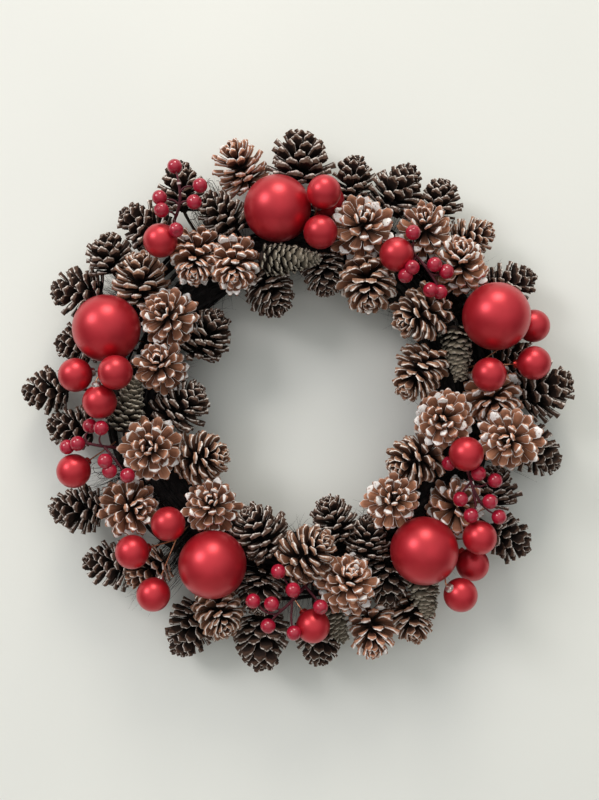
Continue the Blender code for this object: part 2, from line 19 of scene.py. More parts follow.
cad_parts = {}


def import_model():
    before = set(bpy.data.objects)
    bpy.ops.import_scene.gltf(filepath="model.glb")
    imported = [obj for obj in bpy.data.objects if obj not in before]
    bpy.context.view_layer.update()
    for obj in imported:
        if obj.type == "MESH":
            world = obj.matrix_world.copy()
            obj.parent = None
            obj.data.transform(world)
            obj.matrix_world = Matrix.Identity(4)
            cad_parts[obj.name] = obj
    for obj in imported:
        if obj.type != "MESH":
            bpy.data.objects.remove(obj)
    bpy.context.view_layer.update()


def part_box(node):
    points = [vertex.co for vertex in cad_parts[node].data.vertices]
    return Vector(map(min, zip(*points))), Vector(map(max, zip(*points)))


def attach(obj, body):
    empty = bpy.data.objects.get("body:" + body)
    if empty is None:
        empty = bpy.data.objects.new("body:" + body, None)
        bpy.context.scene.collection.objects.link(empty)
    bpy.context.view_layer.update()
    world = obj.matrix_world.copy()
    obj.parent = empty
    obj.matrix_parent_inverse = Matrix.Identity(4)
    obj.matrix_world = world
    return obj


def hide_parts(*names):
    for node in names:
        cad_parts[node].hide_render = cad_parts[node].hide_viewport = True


LOG = logging.getLogger("wreath")

MM = 0.001
BODY = "root"

# Driving sizes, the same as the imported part's
BIG_BAUBLE = 60 * MM
SMALL_BAUBLE = 30 * MM
BERRY = 13.2 * MM
RING_RADIUS = 141 * MM
RING_SECTION = 19 * MM
RING_DEPTH = 17 * MM
RING_DROP = 175 * MM
WIRE_RADIUS = 0.9 * MM
STEM_RADIUS = 1.6 * MM
TWIG_RADIUS = 1.0 * MM
LOOP_WIRE_RADIUS = 1.1 * MM
LOOP_WIDTH = 15 * MM
LOOP_DEPTH = 5 * MM

# Places are read on the front view, whose unit is the size of a big bauble in it
BIG_BAUBLE_UNITS = 68.0
FRONT_UNIT = BIG_BAUBLE / BIG_BAUBLE_UNITS
FRONT_CENTRE = (301.5, 401.5)
VIEW_DISTANCE = 0.9
BAUBLE_DEPTH = 70 * MM

# Spheres that stand for a cone while the cones settle: place along it and radius by its width
CONE_BEADS = ((0.16, 0.34), (0.40, 0.47), (0.62, 0.45), (0.84, 0.29))
BEAD_STEP = 3 * MM
SETTLE_STEPS = 260
SETTLE_EASE = 0.45
SETTLE_PULL = 0.04
PULL_IN_DEPTH = 0.3
PULL_FADE = 1.4
SETTLE_IN_PLANE = 0.55
TINY = 1e-9
BEAD_GAP = 0.8 * MM
STANDING_GAP = 1.5 * MM
WALL_ROOM = 3 * MM
WIRED_ROOM = 0.88
ROLL_STEP = 2.4

GOLDEN_TURN = math.radians(137.508)
SEED = 20


class Kind(Enum):
    """The kinds of pine cone on the wreath."""

    FROSTED = "frosted"
    BROWN = "brown"
    DARK = "dark"
    CLOSED = "closed"


class Cone(NamedTuple):
    """One cone: its middle on the front view, where its tip points, and its size.

    heading is the tip's direction in the front view, 0 to the right and 90 up; facing is how far
    the tip turns out of the wreath, 90 being straight off the wall; depth is off the wall.
    """

    bunch: int
    x: float
    y: float
    heading: float
    facing: float
    length: float
    width: float
    depth: float
    kind: Kind


class Spray(NamedTuple):
    """A pick of berries on one stem, with its small bauble; places on the front view."""

    root: tuple
    joint: tuple
    berries: tuple
    bauble: tuple


FROSTED, BROWN, DARK, CLOSED = Kind.FROSTED, Kind.BROWN, Kind.DARK, Kind.CLOSED

CONES = (
    Cone(1, 225, 213, 135, 15, 46, 40, 52, DARK),
    Cone(1, 239, 165, 118, 35, 44, 43, 38, FROSTED),
    Cone(2, 300, 160, 90, 10, 48, 52, 34, DARK),
    Cone(3, 352, 180, 82, 5, 44, 38, 34, DARK),
    Cone(3, 398, 190, 58, 5, 48, 44, 34, DARK),
    Cone(4, 362, 228, 90, 72, 44, 50, 66, FROSTED),
    Cone(5, 440, 200, 80, 5, 37, 36, 32, DARK),
    Cone(5, 472, 238, 15, 20, 42, 36, 36, BROWN),
    Cone(6, 425, 228, 105, 60, 42, 44, 58, FROSTED),
    Cone(7, 236, 266, -85, 50, 46, 42, 66, FROSTED),
    Cone(7, 194, 257, -92, 45, 48, 42, 66, FROSTED),
    Cone(8, 290, 257, 0, 10, 56, 29, 58, CLOSED),
    Cone(9, 271, 292, -60, 20, 46, 42, 40, DARK),
    Cone(9, 322, 272, -80, 10, 40, 36, 40, DARK),
    Cone(10, 372, 280, -90, 30, 44, 48, 46, BROWN),
    Cone(11, 460, 262, 100, 55, 46, 44, 60, FROSTED),
    Cone(12, 510, 285, 25, 5, 48, 40, 32, DARK),
    Cone(13, 428, 302, 205, 35, 50, 46, 56, BROWN),
    Cone(14, 465, 345, -85, 10, 52, 30, 58, CLOSED),
    Cone(15, 440, 425, 180, 80, 42, 48, 66, FROSTED),
    Cone(15, 426, 373, 235, 25, 50, 44, 46, BROWN),
    Cone(16, 484, 393, -95, 50, 46, 50, 56, FROSTED),
    Cone(16, 500, 434, 180, 66, 42, 48, 72, FROSTED),
    Cone(17, 515, 360, 10, 5, 40, 36, 30, DARK),
    Cone(17, 540, 390, 25, 10, 52, 48, 32, DARK),
    Cone(18, 538, 452, -40, 10, 44, 40, 30, DARK),
    Cone(19, 415, 466, 200, 30, 48, 44, 42, BROWN),
    Cone(19, 395, 508, 90, 75, 42, 44, 64, FROSTED),
    Cone(20, 446, 502, 70, 60, 44, 48, 50, FROSTED),
    Cone(20, 493, 488, 90, 10, 38, 40, 40, DARK),
    Cone(21, 508, 538, -35, 0, 44, 38, 32, DARK),
    Cone(22, 414, 616, -85, 35, 42, 42, 44, BROWN),
    Cone(22, 417, 592, -80, 10, 44, 30, 46, CLOSED),
    Cone(23, 372, 627, -88, 40, 48, 43, 48, FROSTED),
    Cone(24, 344, 582, 75, 55, 48, 46, 60, FROSTED),
    Cone(24, 383, 570, -90, 15, 50, 38, 38, DARK),
    Cone(25, 306, 550, 40, 30, 50, 45, 62, BROWN),
    Cone(26, 343, 527, 115, 15, 44, 38, 38, DARK),
    Cone(26, 368, 532, 85, 10, 42, 34, 34, DARK),
    Cone(27, 259, 533, 120, 20, 48, 44, 46, DARK),
    Cone(28, 211, 514, 95, 70, 42, 44, 62, FROSTED),
    Cone(29, 203, 457, 10, 25, 48, 44, 52, BROWN),
    Cone(30, 178, 406, 45, 15, 48, 44, 48, DARK),
    Cone(31, 167, 316, 135, 75, 42, 46, 67, FROSTED),
    Cone(31, 207, 334, 60, 20, 48, 42, 46, DARK),
    Cone(32, 159, 367, 100, 75, 42, 42, 63, FROSTED),
    Cone(33, 132, 403, 75, 10, 54, 31, 60, CLOSED),
    Cone(34, 148, 450, 90, 85, 42, 50, 68, FROSTED),
    Cone(35, 132, 508, 0, 60, 46, 48, 58, FROSTED),
    Cone(35, 77, 509, 180, 10, 48, 40, 36, DARK),
    Cone(36, 72, 428, 175, 5, 44, 38, 32, DARK),
    Cone(36, 47, 391, 185, 0, 44, 38, 28, DARK),
    Cone(37, 80, 342, 185, 5, 44, 38, 32, DARK),
    Cone(37, 80, 290, 175, 5, 48, 42, 36, DARK),
    Cone(38, 112, 256, 100, 10, 37, 40, 38, DARK),
    Cone(38, 141, 279, 90, 20, 44, 46, 52, BROWN),
    Cone(39, 141, 228, 150, 5, 48, 42, 36, DARK),
    Cone(39, 182, 188, 95, 5, 48, 38, 36, DARK),
    Cone(40, 112, 566, 175, 5, 50, 40, 34, DARK),
    Cone(40, 147, 572, 215, 10, 40, 36, 44, BROWN),
    Cone(41, 192, 630, 240, 5, 52, 42, 34, DARK),
    Cone(41, 222, 610, -60, 50, 44, 44, 52, BROWN),
    Cone(42, 262, 640, -85, 10, 52, 48, 36, DARK),
    Cone(42, 272, 592, -95, 20, 40, 38, 46, DARK),
    Cone(43, 320, 640, -80, 5, 46, 40, 36, DARK),
    Cone(43, 340, 616, -60, 10, 46, 28, 50, CLOSED),
)

# Big baubles: middle on the front view and depth
BIG_BAUBLES = (
    (277.5, 208.5, 60),
    (106.5, 328.5, 67),
    (496.4, 316.3, 70),
    (212.4, 564.5, 72),
    (424.2, 550.8, 72),
)

# Groups of small baubles: the three of each, then the knot of their wires
TRIOS = (
    ((324, 192, 78), (328, 201, 48), (320.5, 232, 76), (306, 236, 46)),
    ((75.3, 375, 74), (115.3, 372.4, 91), (99.6, 401.7, 80), (128, 366, 52)),
    ((533.5, 326, 38), (534, 363, 66), (489.3, 374.5, 80), (474, 366, 48)),
    ((168, 524, 82), (132.2, 552, 76), (153.4, 594.5, 70), (176, 540, 48)),
    ((479.7, 537.5, 76), (472.5, 564.5, 50), (460.6, 595, 72), (450, 540, 42)),
)

SPRAYS = (
    Spray(
        (197, 231, 44),
        (180, 207, 78),
        (
            (174.7, 166.5, 78),
            (200, 185.5, 82),
            (194, 202, 86),
            (159.5, 197.5, 82),
            (161.5, 210, 86),
            (176, 230, 88),
        ),
        (160.3, 240.5, 78),
    ),
    Spray(
        (407, 262, 44),
        (420, 264, 80),
        (
            (413, 232.5, 88),
            (434.5, 264.5, 86),
            (446.5, 271.5, 84),
            (430.5, 290, 86),
            (440, 292, 80),
            (412, 267.5, 88),
            (405.5, 275.5, 84),
        ),
        (396.5, 254.3, 80),
    ),
    Spray(
        (466, 468, 44),
        (475, 487, 80),
        (
            (449, 463.5, 66),
            (478.5, 473.5, 86),
            (495, 480.5, 82),
            (460.5, 499, 86),
            (490, 501.5, 84),
            (471, 515.5, 84),
            (499, 517, 78),
        ),
        (466.3, 454, 90),
    ),
    Spray(
        (284, 584, 44),
        (287, 605, 80),
        (
            (278.5, 571.5, 82),
            (293, 590, 88),
            (253, 601, 82),
            (271.5, 604, 88),
            (268, 626, 84),
            (294, 633, 82),
            (320.5, 607, 84),
        ),
        (313, 626, 72),
    ),
    Spray(
        (116, 442, 44),
        (100, 452, 78),
        (
            (90, 426, 70),
            (101, 428, 84),
            (67, 447, 78),
            (77.5, 443.5, 84),
            (105, 461, 88),
            (109.5, 471, 84),
            (127.5, 475.5, 84),
        ),
        (73.7, 471, 74),
    ),
)


def front(x: float, y: float, depth: float) -> Vector:
    """The point at a depth off the wall that the front view shows at x, y.

    Args:
        x: Place across the front view.
        y: Place down the front view.
        depth: Distance off the wall, in millimetres.

    Returns:
        The point, about the wreath's centre in the wall.
    """
    scale = FRONT_UNIT * (VIEW_DISTANCE + BAUBLE_DEPTH - depth * MM) / VIEW_DISTANCE
    across = (x - FRONT_CENTRE[0]) * scale
    up = (FRONT_CENTRE[1] - y) * scale
    return Vector((across, -depth * MM, up))


def hung(point: Vector) -> Vector:
    """A point about the wreath's centre, in the frame of the part."""
    return point - Vector((0.0, 0.0, RING_DROP))


def tip_direction(cone: Cone) -> Vector:
    """The way from a cone's base to its tip.

    Args:
        cone: The cone.

    Returns:
        A unit vector.
    """
    heading = math.radians(cone.heading)
    facing = math.radians(cone.facing)
    flat = math.cos(facing)
    return Vector((flat * math.cos(heading), -math.sin(facing), flat * math.sin(heading)))


def ring_middle(point: Vector) -> Vector:
    """The point of the ring's centre line nearest to a point."""
    angle = math.atan2(point.z, point.x)
    return Vector((RING_RADIUS * math.cos(angle), -RING_DEPTH, RING_RADIUS * math.sin(angle)))


def cone_beads(cone: Cone, middle: Vector) -> list:
    """The spheres that stand for a cone, as rows of x, y, z and radius.

    Args:
        cone: The cone.
        middle: Its middle.

    Returns:
        One row for each of CONE_BEADS.
    """
    way = tip_direction(cone)
    rows = []
    for share, radius in CONE_BEADS:
        centre = middle + way * cone.length * MM * (share - 0.5)
        rows.append((*centre, radius * cone.width * MM))
    return rows


def beads_along(start: Vector, end: Vector, radius: float) -> list:
    """Spheres along a wire, as rows of x, y, z and radius."""
    count = max(2, int((end - start).length / BEAD_STEP))
    return [(*start.lerp(end, i / count), radius) for i in range(count + 1)]


def standing_beads() -> np.ndarray:
    """The spheres of what doesn't move while the cones settle: baubles, berries and wires.

    Returns:
        Rows of x, y, z and radius.
    """
    rows = [(*front(*place), BIG_BAUBLE / 2) for place in BIG_BAUBLES]
    for trio in TRIOS:
        knot = front(*trio[-1])
        rows += beads_along(knot, ring_middle(knot), WIRE_RADIUS)
        for place in trio[:-1]:
            ball = front(*place)
            rows.append((*ball, SMALL_BAUBLE / 2))
            rows += beads_along(knot, ball, WIRE_RADIUS)
    for spray in SPRAYS:
        root, joint, bauble = front(*spray.root), front(*spray.joint), front(*spray.bauble)
        rows += beads_along(root, ring_middle(root), STEM_RADIUS)
        rows += beads_along(root, joint, STEM_RADIUS)
        rows += beads_along(root, bauble, WIRE_RADIUS)
        rows.append((*bauble, SMALL_BAUBLE / 2))
        for place in spray.berries:
            berry = front(*place)
            rows.append((*berry, BERRY / 2))
            rows += beads_along(joint, berry, TWIG_RADIUS)
    return np.array(rows)


def settle() -> list:
    """The middle of each cone, moved until no cone presses into a neighbour.

    Returns:
        One point for each row of CONES, about the wreath's centre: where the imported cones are.
    """
    start = np.array([front(c.x, c.y, c.depth) for c in CONES])
    about = np.array([cone_beads(c, Vector((0, 0, 0))) for c in CONES])
    offsets, radii = about[..., :3], about[..., 3]
    per_cone = len(CONE_BEADS)
    owner = np.repeat(np.arange(len(CONES)), per_cone)
    size = radii.reshape(-1)
    bunch = np.array([c.bunch for c in CONES])[owner]
    wired = bunch[:, None] == bunch[None, :]
    room = np.where(wired, WIRED_ROOM, 1.0) * (size[:, None] + size[None, :] + BEAD_GAP)
    room *= owner[:, None] != owner[None, :]
    standing = standing_beads()
    place = start.copy()
    for step in range(SETTLE_STEPS):
        beads = (place[:, None, :] + offsets).reshape(-1, 3)
        apart = beads[:, None, :] - beads[None, :, :]
        far = np.linalg.norm(apart, axis=2) + TINY
        press = np.clip(room - far, 0, None)
        push = (apart / far[:, :, None] * press[:, :, None] * 0.5).sum(axis=1)
        apart = beads[:, None, :] - standing[None, :, :3]
        far = np.linalg.norm(apart, axis=2) + TINY
        press = np.clip(size[:, None] + standing[None, :, 3] + STANDING_GAP - far, 0, None)
        push += (apart / far[:, :, None] * press[:, :, None]).max(axis=1)
        push += (apart / far[:, :, None] * press[:, :, None]).min(axis=1)
        out = np.hypot(beads[:, 0], beads[:, 2])
        across, back = out - RING_RADIUS, beads[:, 1] + RING_DEPTH
        far = np.hypot(across, back) + TINY
        press = np.clip(size + RING_SECTION + BEAD_GAP - far, 0, None)
        push[:, 0] += press * across / far * beads[:, 0] / out
        push[:, 2] += press * across / far * beads[:, 2] / out
        push[:, 1] += press * back / far
        push[:, 1] -= np.clip(beads[:, 1] + size + WALL_ROOM, 0, None)
        shift = np.zeros_like(place)
        np.add.at(shift, owner, push)
        shift *= (SETTLE_IN_PLANE, 1.0, SETTLE_IN_PLANE)
        pull = SETTLE_PULL * max(0.0, 1 - PULL_FADE * step / SETTLE_STEPS)
        place += SETTLE_EASE * shift + pull * (start - place) * (1.0, PULL_IN_DEPTH, 1.0)
    return [Vector(p) for p in np.round(place, 4)]


# Modelling helpers


def deselect() -> None:
    """Leave nothing selected, so that an operator acts only on what is picked next."""
    bpy.ops.object.select_all(action="DESELECT")


def activate(*objects: bpy.types.Object) -> None:
    """Select only these objects, with the first of them active.

    Args:
        *objects: The objects.
    """
    deselect()
    for obj in objects:
        obj.select_set(True)
    bpy.context.view_layer.objects.active = objects[0]


def begin(name: str, add: Callable, **sizes: object) -> bpy.types.Object:
    """Add a primitive with nothing else selected.

    Args:
        name: The object's name.
        add: The primitive's operator.
        **sizes: Its sizes and place.

    Returns:
        The new object, which is active.
    """
    deselect()
    add(**sizes)
    obj = bpy.context.view_layer.objects.active
    obj.name = name
    obj.data.name = name
    return obj


@contextmanager
def editing(obj: bpy.types.Object) -> Iterator[None]:
    """Edit mode on one object, with nothing selected at first.

    Args:
        obj: The object.
    """
    activate(obj)
    bpy.ops.object.mode_set(mode="EDIT")
    bpy.ops.mesh.select_all(action="DESELECT")
    yield
    bpy.ops.object.mode_set(mode="OBJECT")


def pick(obj: bpy.types.Object, wanted: Callable[[Vector], bool]) -> None:
    """Select only the vertices, and what they enclose, whose place is wanted.

    Args:
        obj: The object in edit mode.
        wanted: Says of a place whether it is selected.
    """
    bpy.ops.mesh.select_mode(type="VERT")
    bpy.ops.mesh.select_all(action="DESELECT")
    bm = bmesh.from_edit_mesh(obj.data)
    for vert in bm.verts:
        vert.select_set(wanted(vert.co))
    bm.select_flush(True)
    bmesh.update_edit_mesh(obj.data)


def apply_modifier(obj: bpy.types.Object, name: str, kind: str, **values: object) -> None:
    """Add a modifier to an object and apply it.

    Args:
        obj: The object.
        name: The modifier's name.
        kind: Its type.
        **values: Its settings.
    """
    bpy.context.view_layer.objects.active = obj
    modifier = obj.modifiers.new(name, kind)
    for key, value in values.items():
        setattr(modifier, key, value)
    bpy.ops.object.modifier_apply(modifier=modifier.name)


def place_in_mesh(obj: bpy.types.Object, matrix: Matrix) -> bpy.types.Object:
    """Move an object by a matrix that goes into its mesh, and leave it at the origin.

    Args:
        obj: The object.
        matrix: The move, after what the object has already.

    Returns:
        The object.
    """
    obj.data.transform(matrix @ obj.matrix_world)
    obj.matrix_world = Matrix.Identity(4)
    return obj


def join(name: str, objects: Sequence[bpy.types.Object]) -> bpy.types.Object:
    """Join objects into the first of them, under one name.

    Args:
        name: The name of the whole.
        objects: The objects.

    Returns:
        The whole.
    """
    activate(*objects)
    if len(objects) > 1:
        bpy.ops.object.join()
    joined = bpy.context.view_layer.objects.active
    joined.name = name
    joined.data.name = name
    return joined


def new_object(name: str, data: bpy.types.ID) -> bpy.types.Object:
    """A new object in the scene.

    Args:
        name: The object's name.
        data: Its mesh, curve, light or camera.

    Returns:
        The object.
    """
    obj = bpy.data.objects.new(name, data)
    bpy.context.scene.collection.objects.link(obj)
    return obj


def from_arrays(name: str, points: np.ndarray, faces: list) -> bpy.types.Object:
    """A smooth mesh object from arrays.

    Args:
        name: The object's name.
        points: Its vertices, in an array whose last axis is x, y, z.
        faces: Its faces, as lists of vertex numbers.

    Returns:
        The object.
    """
    mesh = bpy.data.meshes.new(name)
    mesh.from_pydata(points.reshape(-1, 3), [], faces)
    mesh.shade_smooth()
    return new_object(name, mesh)


def copy_of(obj: bpy.types.Object, name: str, matrix: Matrix) -> bpy.types.Object:
    """A copy of an object with its own mesh, placed by a matrix.

    Args:
        obj: The object.
        name: The copy's name.
        matrix: Its place.

    Returns:
        The copy.
    """
    mesh = obj.data.copy()
    mesh.transform(matrix)
    mesh.name = name
    return new_object(name, mesh)


def aligned(start: Vector, way: Vector) -> Matrix:
    """The turn that lays +Z along a way, and the move to a start."""
    return Matrix.Translation(start) @ way.to_track_quat("Z", "Y").to_matrix().to_4x4()


def wire(
    name: str,
    points: Sequence[Vector],
    radius: float,
    end_radius: float | None = None,
    sides: int = 2,
) -> bpy.types.Object:
    """A round wire on a smooth line through points.

    Args:
        name: The object's name.
        points: The line's points.
        radius: The wire's radius at its start.
        end_radius: Its radius at its end, the same if not given.
        sides: The bevel's resolution.

    Returns:
        The wire as a mesh.
    """
    curve = bpy.data.curves.new(name, "CURVE")
    curve.dimensions = "3D"
    curve.resolution_u = 4
    line = curve.splines.new("NURBS" if len(points) > 2 else "POLY")
    line.points.add(len(points) - 1)
    last = radius if end_radius is None else end_radius
    for index, (spot, place) in enumerate(zip(line.points, points)):
        share = index / (len(points) - 1)
        spot.co = (*place, 1.0)
        spot.radius = 1 + (last / radius - 1) * share
    if len(points) > 2:
        line.use_endpoint_u = True
        line.order_u = 3
    curve.bevel_depth = radius
    curve.bevel_resolution = sides
    curve.use_fill_caps = True
    activate(new_object(name, curve))
    bpy.ops.object.convert(target="MESH")
    bpy.ops.object.shade_smooth()
    return bpy.context.view_layer.objects.active


def kneed_wire(
    name: str, start: Vector, knee: Vector, end: Vector, *radii: float
) -> bpy.types.Object:
    """A wire that leaves its start toward a knee and then bends to its end, both on the wreath."""
    points = (start, knee, knee.lerp(end, 0.5), end)
    return wire(name, [hung(point) for point in points], *radii, sides=1)


def dress(obj: bpy.types.Object, *materials: bpy.types.Material) -> bpy.types.Object:
    """Give an object its materials, in place of any others.

    Args:
        obj: The object.
        *materials: Its materials.

    Returns:
        The object.
    """
    obj.data.materials.clear()
    for mat in materials:
        obj.data.materials.append(mat)
    return obj


def mount(obj: bpy.types.Object, slot: str, *nodes: str) -> bpy.types.Object:
    """Let a finished piece ride on the wreath, in place of CAD nodes.

    Args:
        obj: The piece.
        slot: Its material slot; not used.
        *nodes: The CAD nodes that it replaces.

    Returns:
        The piece.
    """
    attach(obj, BODY)
    if nodes:
        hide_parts(*nodes)
    return obj


# Materials


class Tree:
    """A shader node tree that is being built."""

    def __init__(self, tree: bpy.types.NodeTree) -> None:
        """Start from a tree."""
        self.tree = tree

    def add(self, kind: str, **values: object) -> bpy.types.Node:
        """Add a node.

        Args:
            kind: The node's type, without its ShaderNode prefix.
            **values: Its properties, set by name.

        Returns:
            The node.
        """
        node = self.tree.nodes.new(f"ShaderNode{kind}")
        for key, value in values.items():
            setattr(node, key, value)
        return node

    def feed(self, node: bpy.types.Node, **inputs: object) -> bpy.types.Node:
        """Set or link a node's inputs; an underscore in a name stands for a space.

        Args:
            node: The node.
            **inputs: For each socket, another socket to link from, or a plain value.

        Returns:
            The node.
        """
        for key, value in inputs.items():
            number = key.removeprefix("in")
            socket = node.inputs[int(number) if number.isdigit() else key.replace("_", " ")]
            if isinstance(value, bpy.types.NodeSocket):
                self.tree.links.new(value, socket)
            else:
                socket.default_value = value
        return node

    def math(self, operation: str, first: object, second: object = 0.0) -> bpy.types.NodeSocket:
        """One sum of two values or sockets.

        Args:
            operation: What is done with them.
            first: The first.
            second: The second.

        Returns:
            The result's socket.
        """
        node = self.add("Math", operation=operation)
        self.feed(node, in0=first, in1=second)
        return node.outputs[0]

    def between(self, value: object, low: object, high: object) -> bpy.types.NodeSocket:
        """How far a value has come from low to high, eased at both ends, from 0 to 1.

        Args:
            value: The value.
            low: Where the result is 0.
            high: Where it is 1.

        Returns:
            The result's socket.
        """
        node = self.add("MapRange", interpolation_type="SMOOTHSTEP")
        self.feed(node, Value=value, From_Min=low, From_Max=high)
        return node.outputs["Result"]

    def noise(self, vector: object, scale: float, detail: float = 3.0) -> bpy.types.NodeSocket:
        """Noise at a scale over a vector.

        Args:
            vector: The vector.
            scale: How fine it is.
            detail: How many finer layers it has.

        Returns:
            The noise, about 0.5.
        """
        node = self.add("TexNoise")
        self.feed(node, Vector=vector, Scale=scale, Detail=detail)
        return node.outputs["Fac"]

    def mix(self, share: object, first: object, second: object) -> bpy.types.NodeSocket:
        """A colour between two colours.

        Args:
            share: How much of the second there is.
            first: The first colour.
            second: The second colour.

        Returns:
            The colour's socket.
        """
        node = self.add("Mix", data_type="RGBA")
        self.feed(node, in0=share, in6=first, in7=second)
        return node.outputs[2]

    def bump(self, strength: float, distance: float, height: object) -> bpy.types.NodeSocket:
        """The normal that a height gives.

        Args:
            strength: How strong the relief is.
            distance: How deep it is.
            height: The height.

        Returns:
            The normal's socket.
        """
        node = self.add("Bump")
        self.feed(node, Strength=strength, Distance=distance, Height=height)
        return node.outputs[0]


def colour(red: float, green: float, blue: float) -> tuple:
    """A colour with full alpha."""
    return (red, green, blue, 1.0)


def new_material(name: str) -> tuple:
    """An empty material.

    Args:
        name: The material's name.

    Returns:
        The material, its tree, its Principled node and the place on the piece.
    """
    mat = bpy.data.materials.new(name)
    mat.use_nodes = True
    tree = Tree(mat.node_tree)
    place = tree.add("TexCoord").outputs["Object"]
    return mat, tree, mat.node_tree.nodes["Principled BSDF"], place


def new_group(name: str, inputs: dict, outputs: dict) -> tuple:
    """An empty node group with named sockets.

    Args:
        name: The group's name.
        inputs: For each input, its socket type and its default value.
        outputs: For each output, its socket type.

    Returns:
        The group, its tree, and its input and output nodes.
    """
    group = bpy.data.node_groups.new(name, "ShaderNodeTree")
    for key, (kind, value) in inputs.items():
        socket = group.interface.new_socket(key, in_out="INPUT", socket_type=kind)
        if value is not None:
            socket.default_value = value
    for key, kind in outputs.items():
        group.interface.new_socket(key, in_out="OUTPUT", socket_type=kind)
    given = group.nodes.new("NodeGroupInput")
    result = group.nodes.new("NodeGroupOutput")
    return group, Tree(group), given, result


FLOAT, VECTOR = "NodeSocketFloat", "NodeSocketVector"
# Where noise is stretched to the full range from 0 to 1
NOISE_SPREAD = (0.25, 0.75)
STREAK_SPREAD = (0.3, 0.7)


class Effects:
    """The node groups that more than one material uses."""

    def __init__(self) -> None:
        """Build the groups once."""
        self.grain = self.build_grain()
        self.speckle = self.build_speckle()

    def build_grain(self) -> bpy.types.NodeTree:
        """Fine streaks along the second axis of a map, as in wood.

        Returns:
            The group, which puts out a value about 0.5.
        """
        group, tree, given, result = new_group(
            "grain",
            {"Map": (VECTOR, None), "Across": (FLOAT, 9.0), "Along": (FLOAT, 0.8)},
            {"Streak": FLOAT},
        )
        parts = tree.add("SeparateXYZ")
        tree.feed(parts, Vector=given.outputs["Map"])
        across = tree.math("MULTIPLY", parts.outputs["X"], given.outputs["Across"])
        along = tree.math("MULTIPLY", parts.outputs["Y"], given.outputs["Along"])
        drawn = tree.add("CombineXYZ")
        tree.feed(drawn, X=across, Y=along, Z=parts.outputs["Z"])
        streak = tree.noise(drawn.outputs[0], 1.0, 4.0)
        tree.feed(result, Streak=streak)
        return group

    def build_speckle(self) -> bpy.types.NodeTree:
        """Uneven cover, such as thin paint or dust, by noise about a cover value.

        Returns:
            The group, which puts out a mask from 0 to 1.
        """
        group, tree, given, result = new_group(
            "speckle",
            {
                "Vector": (VECTOR, None),
                "Cover": (FLOAT, 0.5),
                "Fineness": (FLOAT, 500.0),
                "Softness": (FLOAT, 0.15),
            },
            {"Mask": FLOAT},
        )
        node = tree.add("TexNoise")
        tree.feed(node, Vector=given.outputs["Vector"], Scale=given.outputs["Fineness"], Detail=4.0)
        level = tree.math("SUBTRACT", 1.0, given.outputs["Cover"])
        low = tree.math("SUBTRACT", level, given.outputs["Softness"])
        high = tree.math("ADD", level, given.outputs["Softness"])
        spread = tree.between(node.outputs["Fac"], *NOISE_SPREAD)
        mask = tree.between(spread, low, high)
        tree.feed(result, Mask=mask)
        return group

    @staticmethod
    def use(tree: Tree, group: bpy.types.NodeTree, **inputs: object) -> bpy.types.NodeSocket:
        """Place a group in a material.

        Args:
            tree: The material's tree.
            group: The group.
            **inputs: Its inputs.

        Returns:
            Its first output.
        """
        node = tree.add("Group", node_tree=group)
        tree.feed(node, **inputs)
        return node.outputs[0]


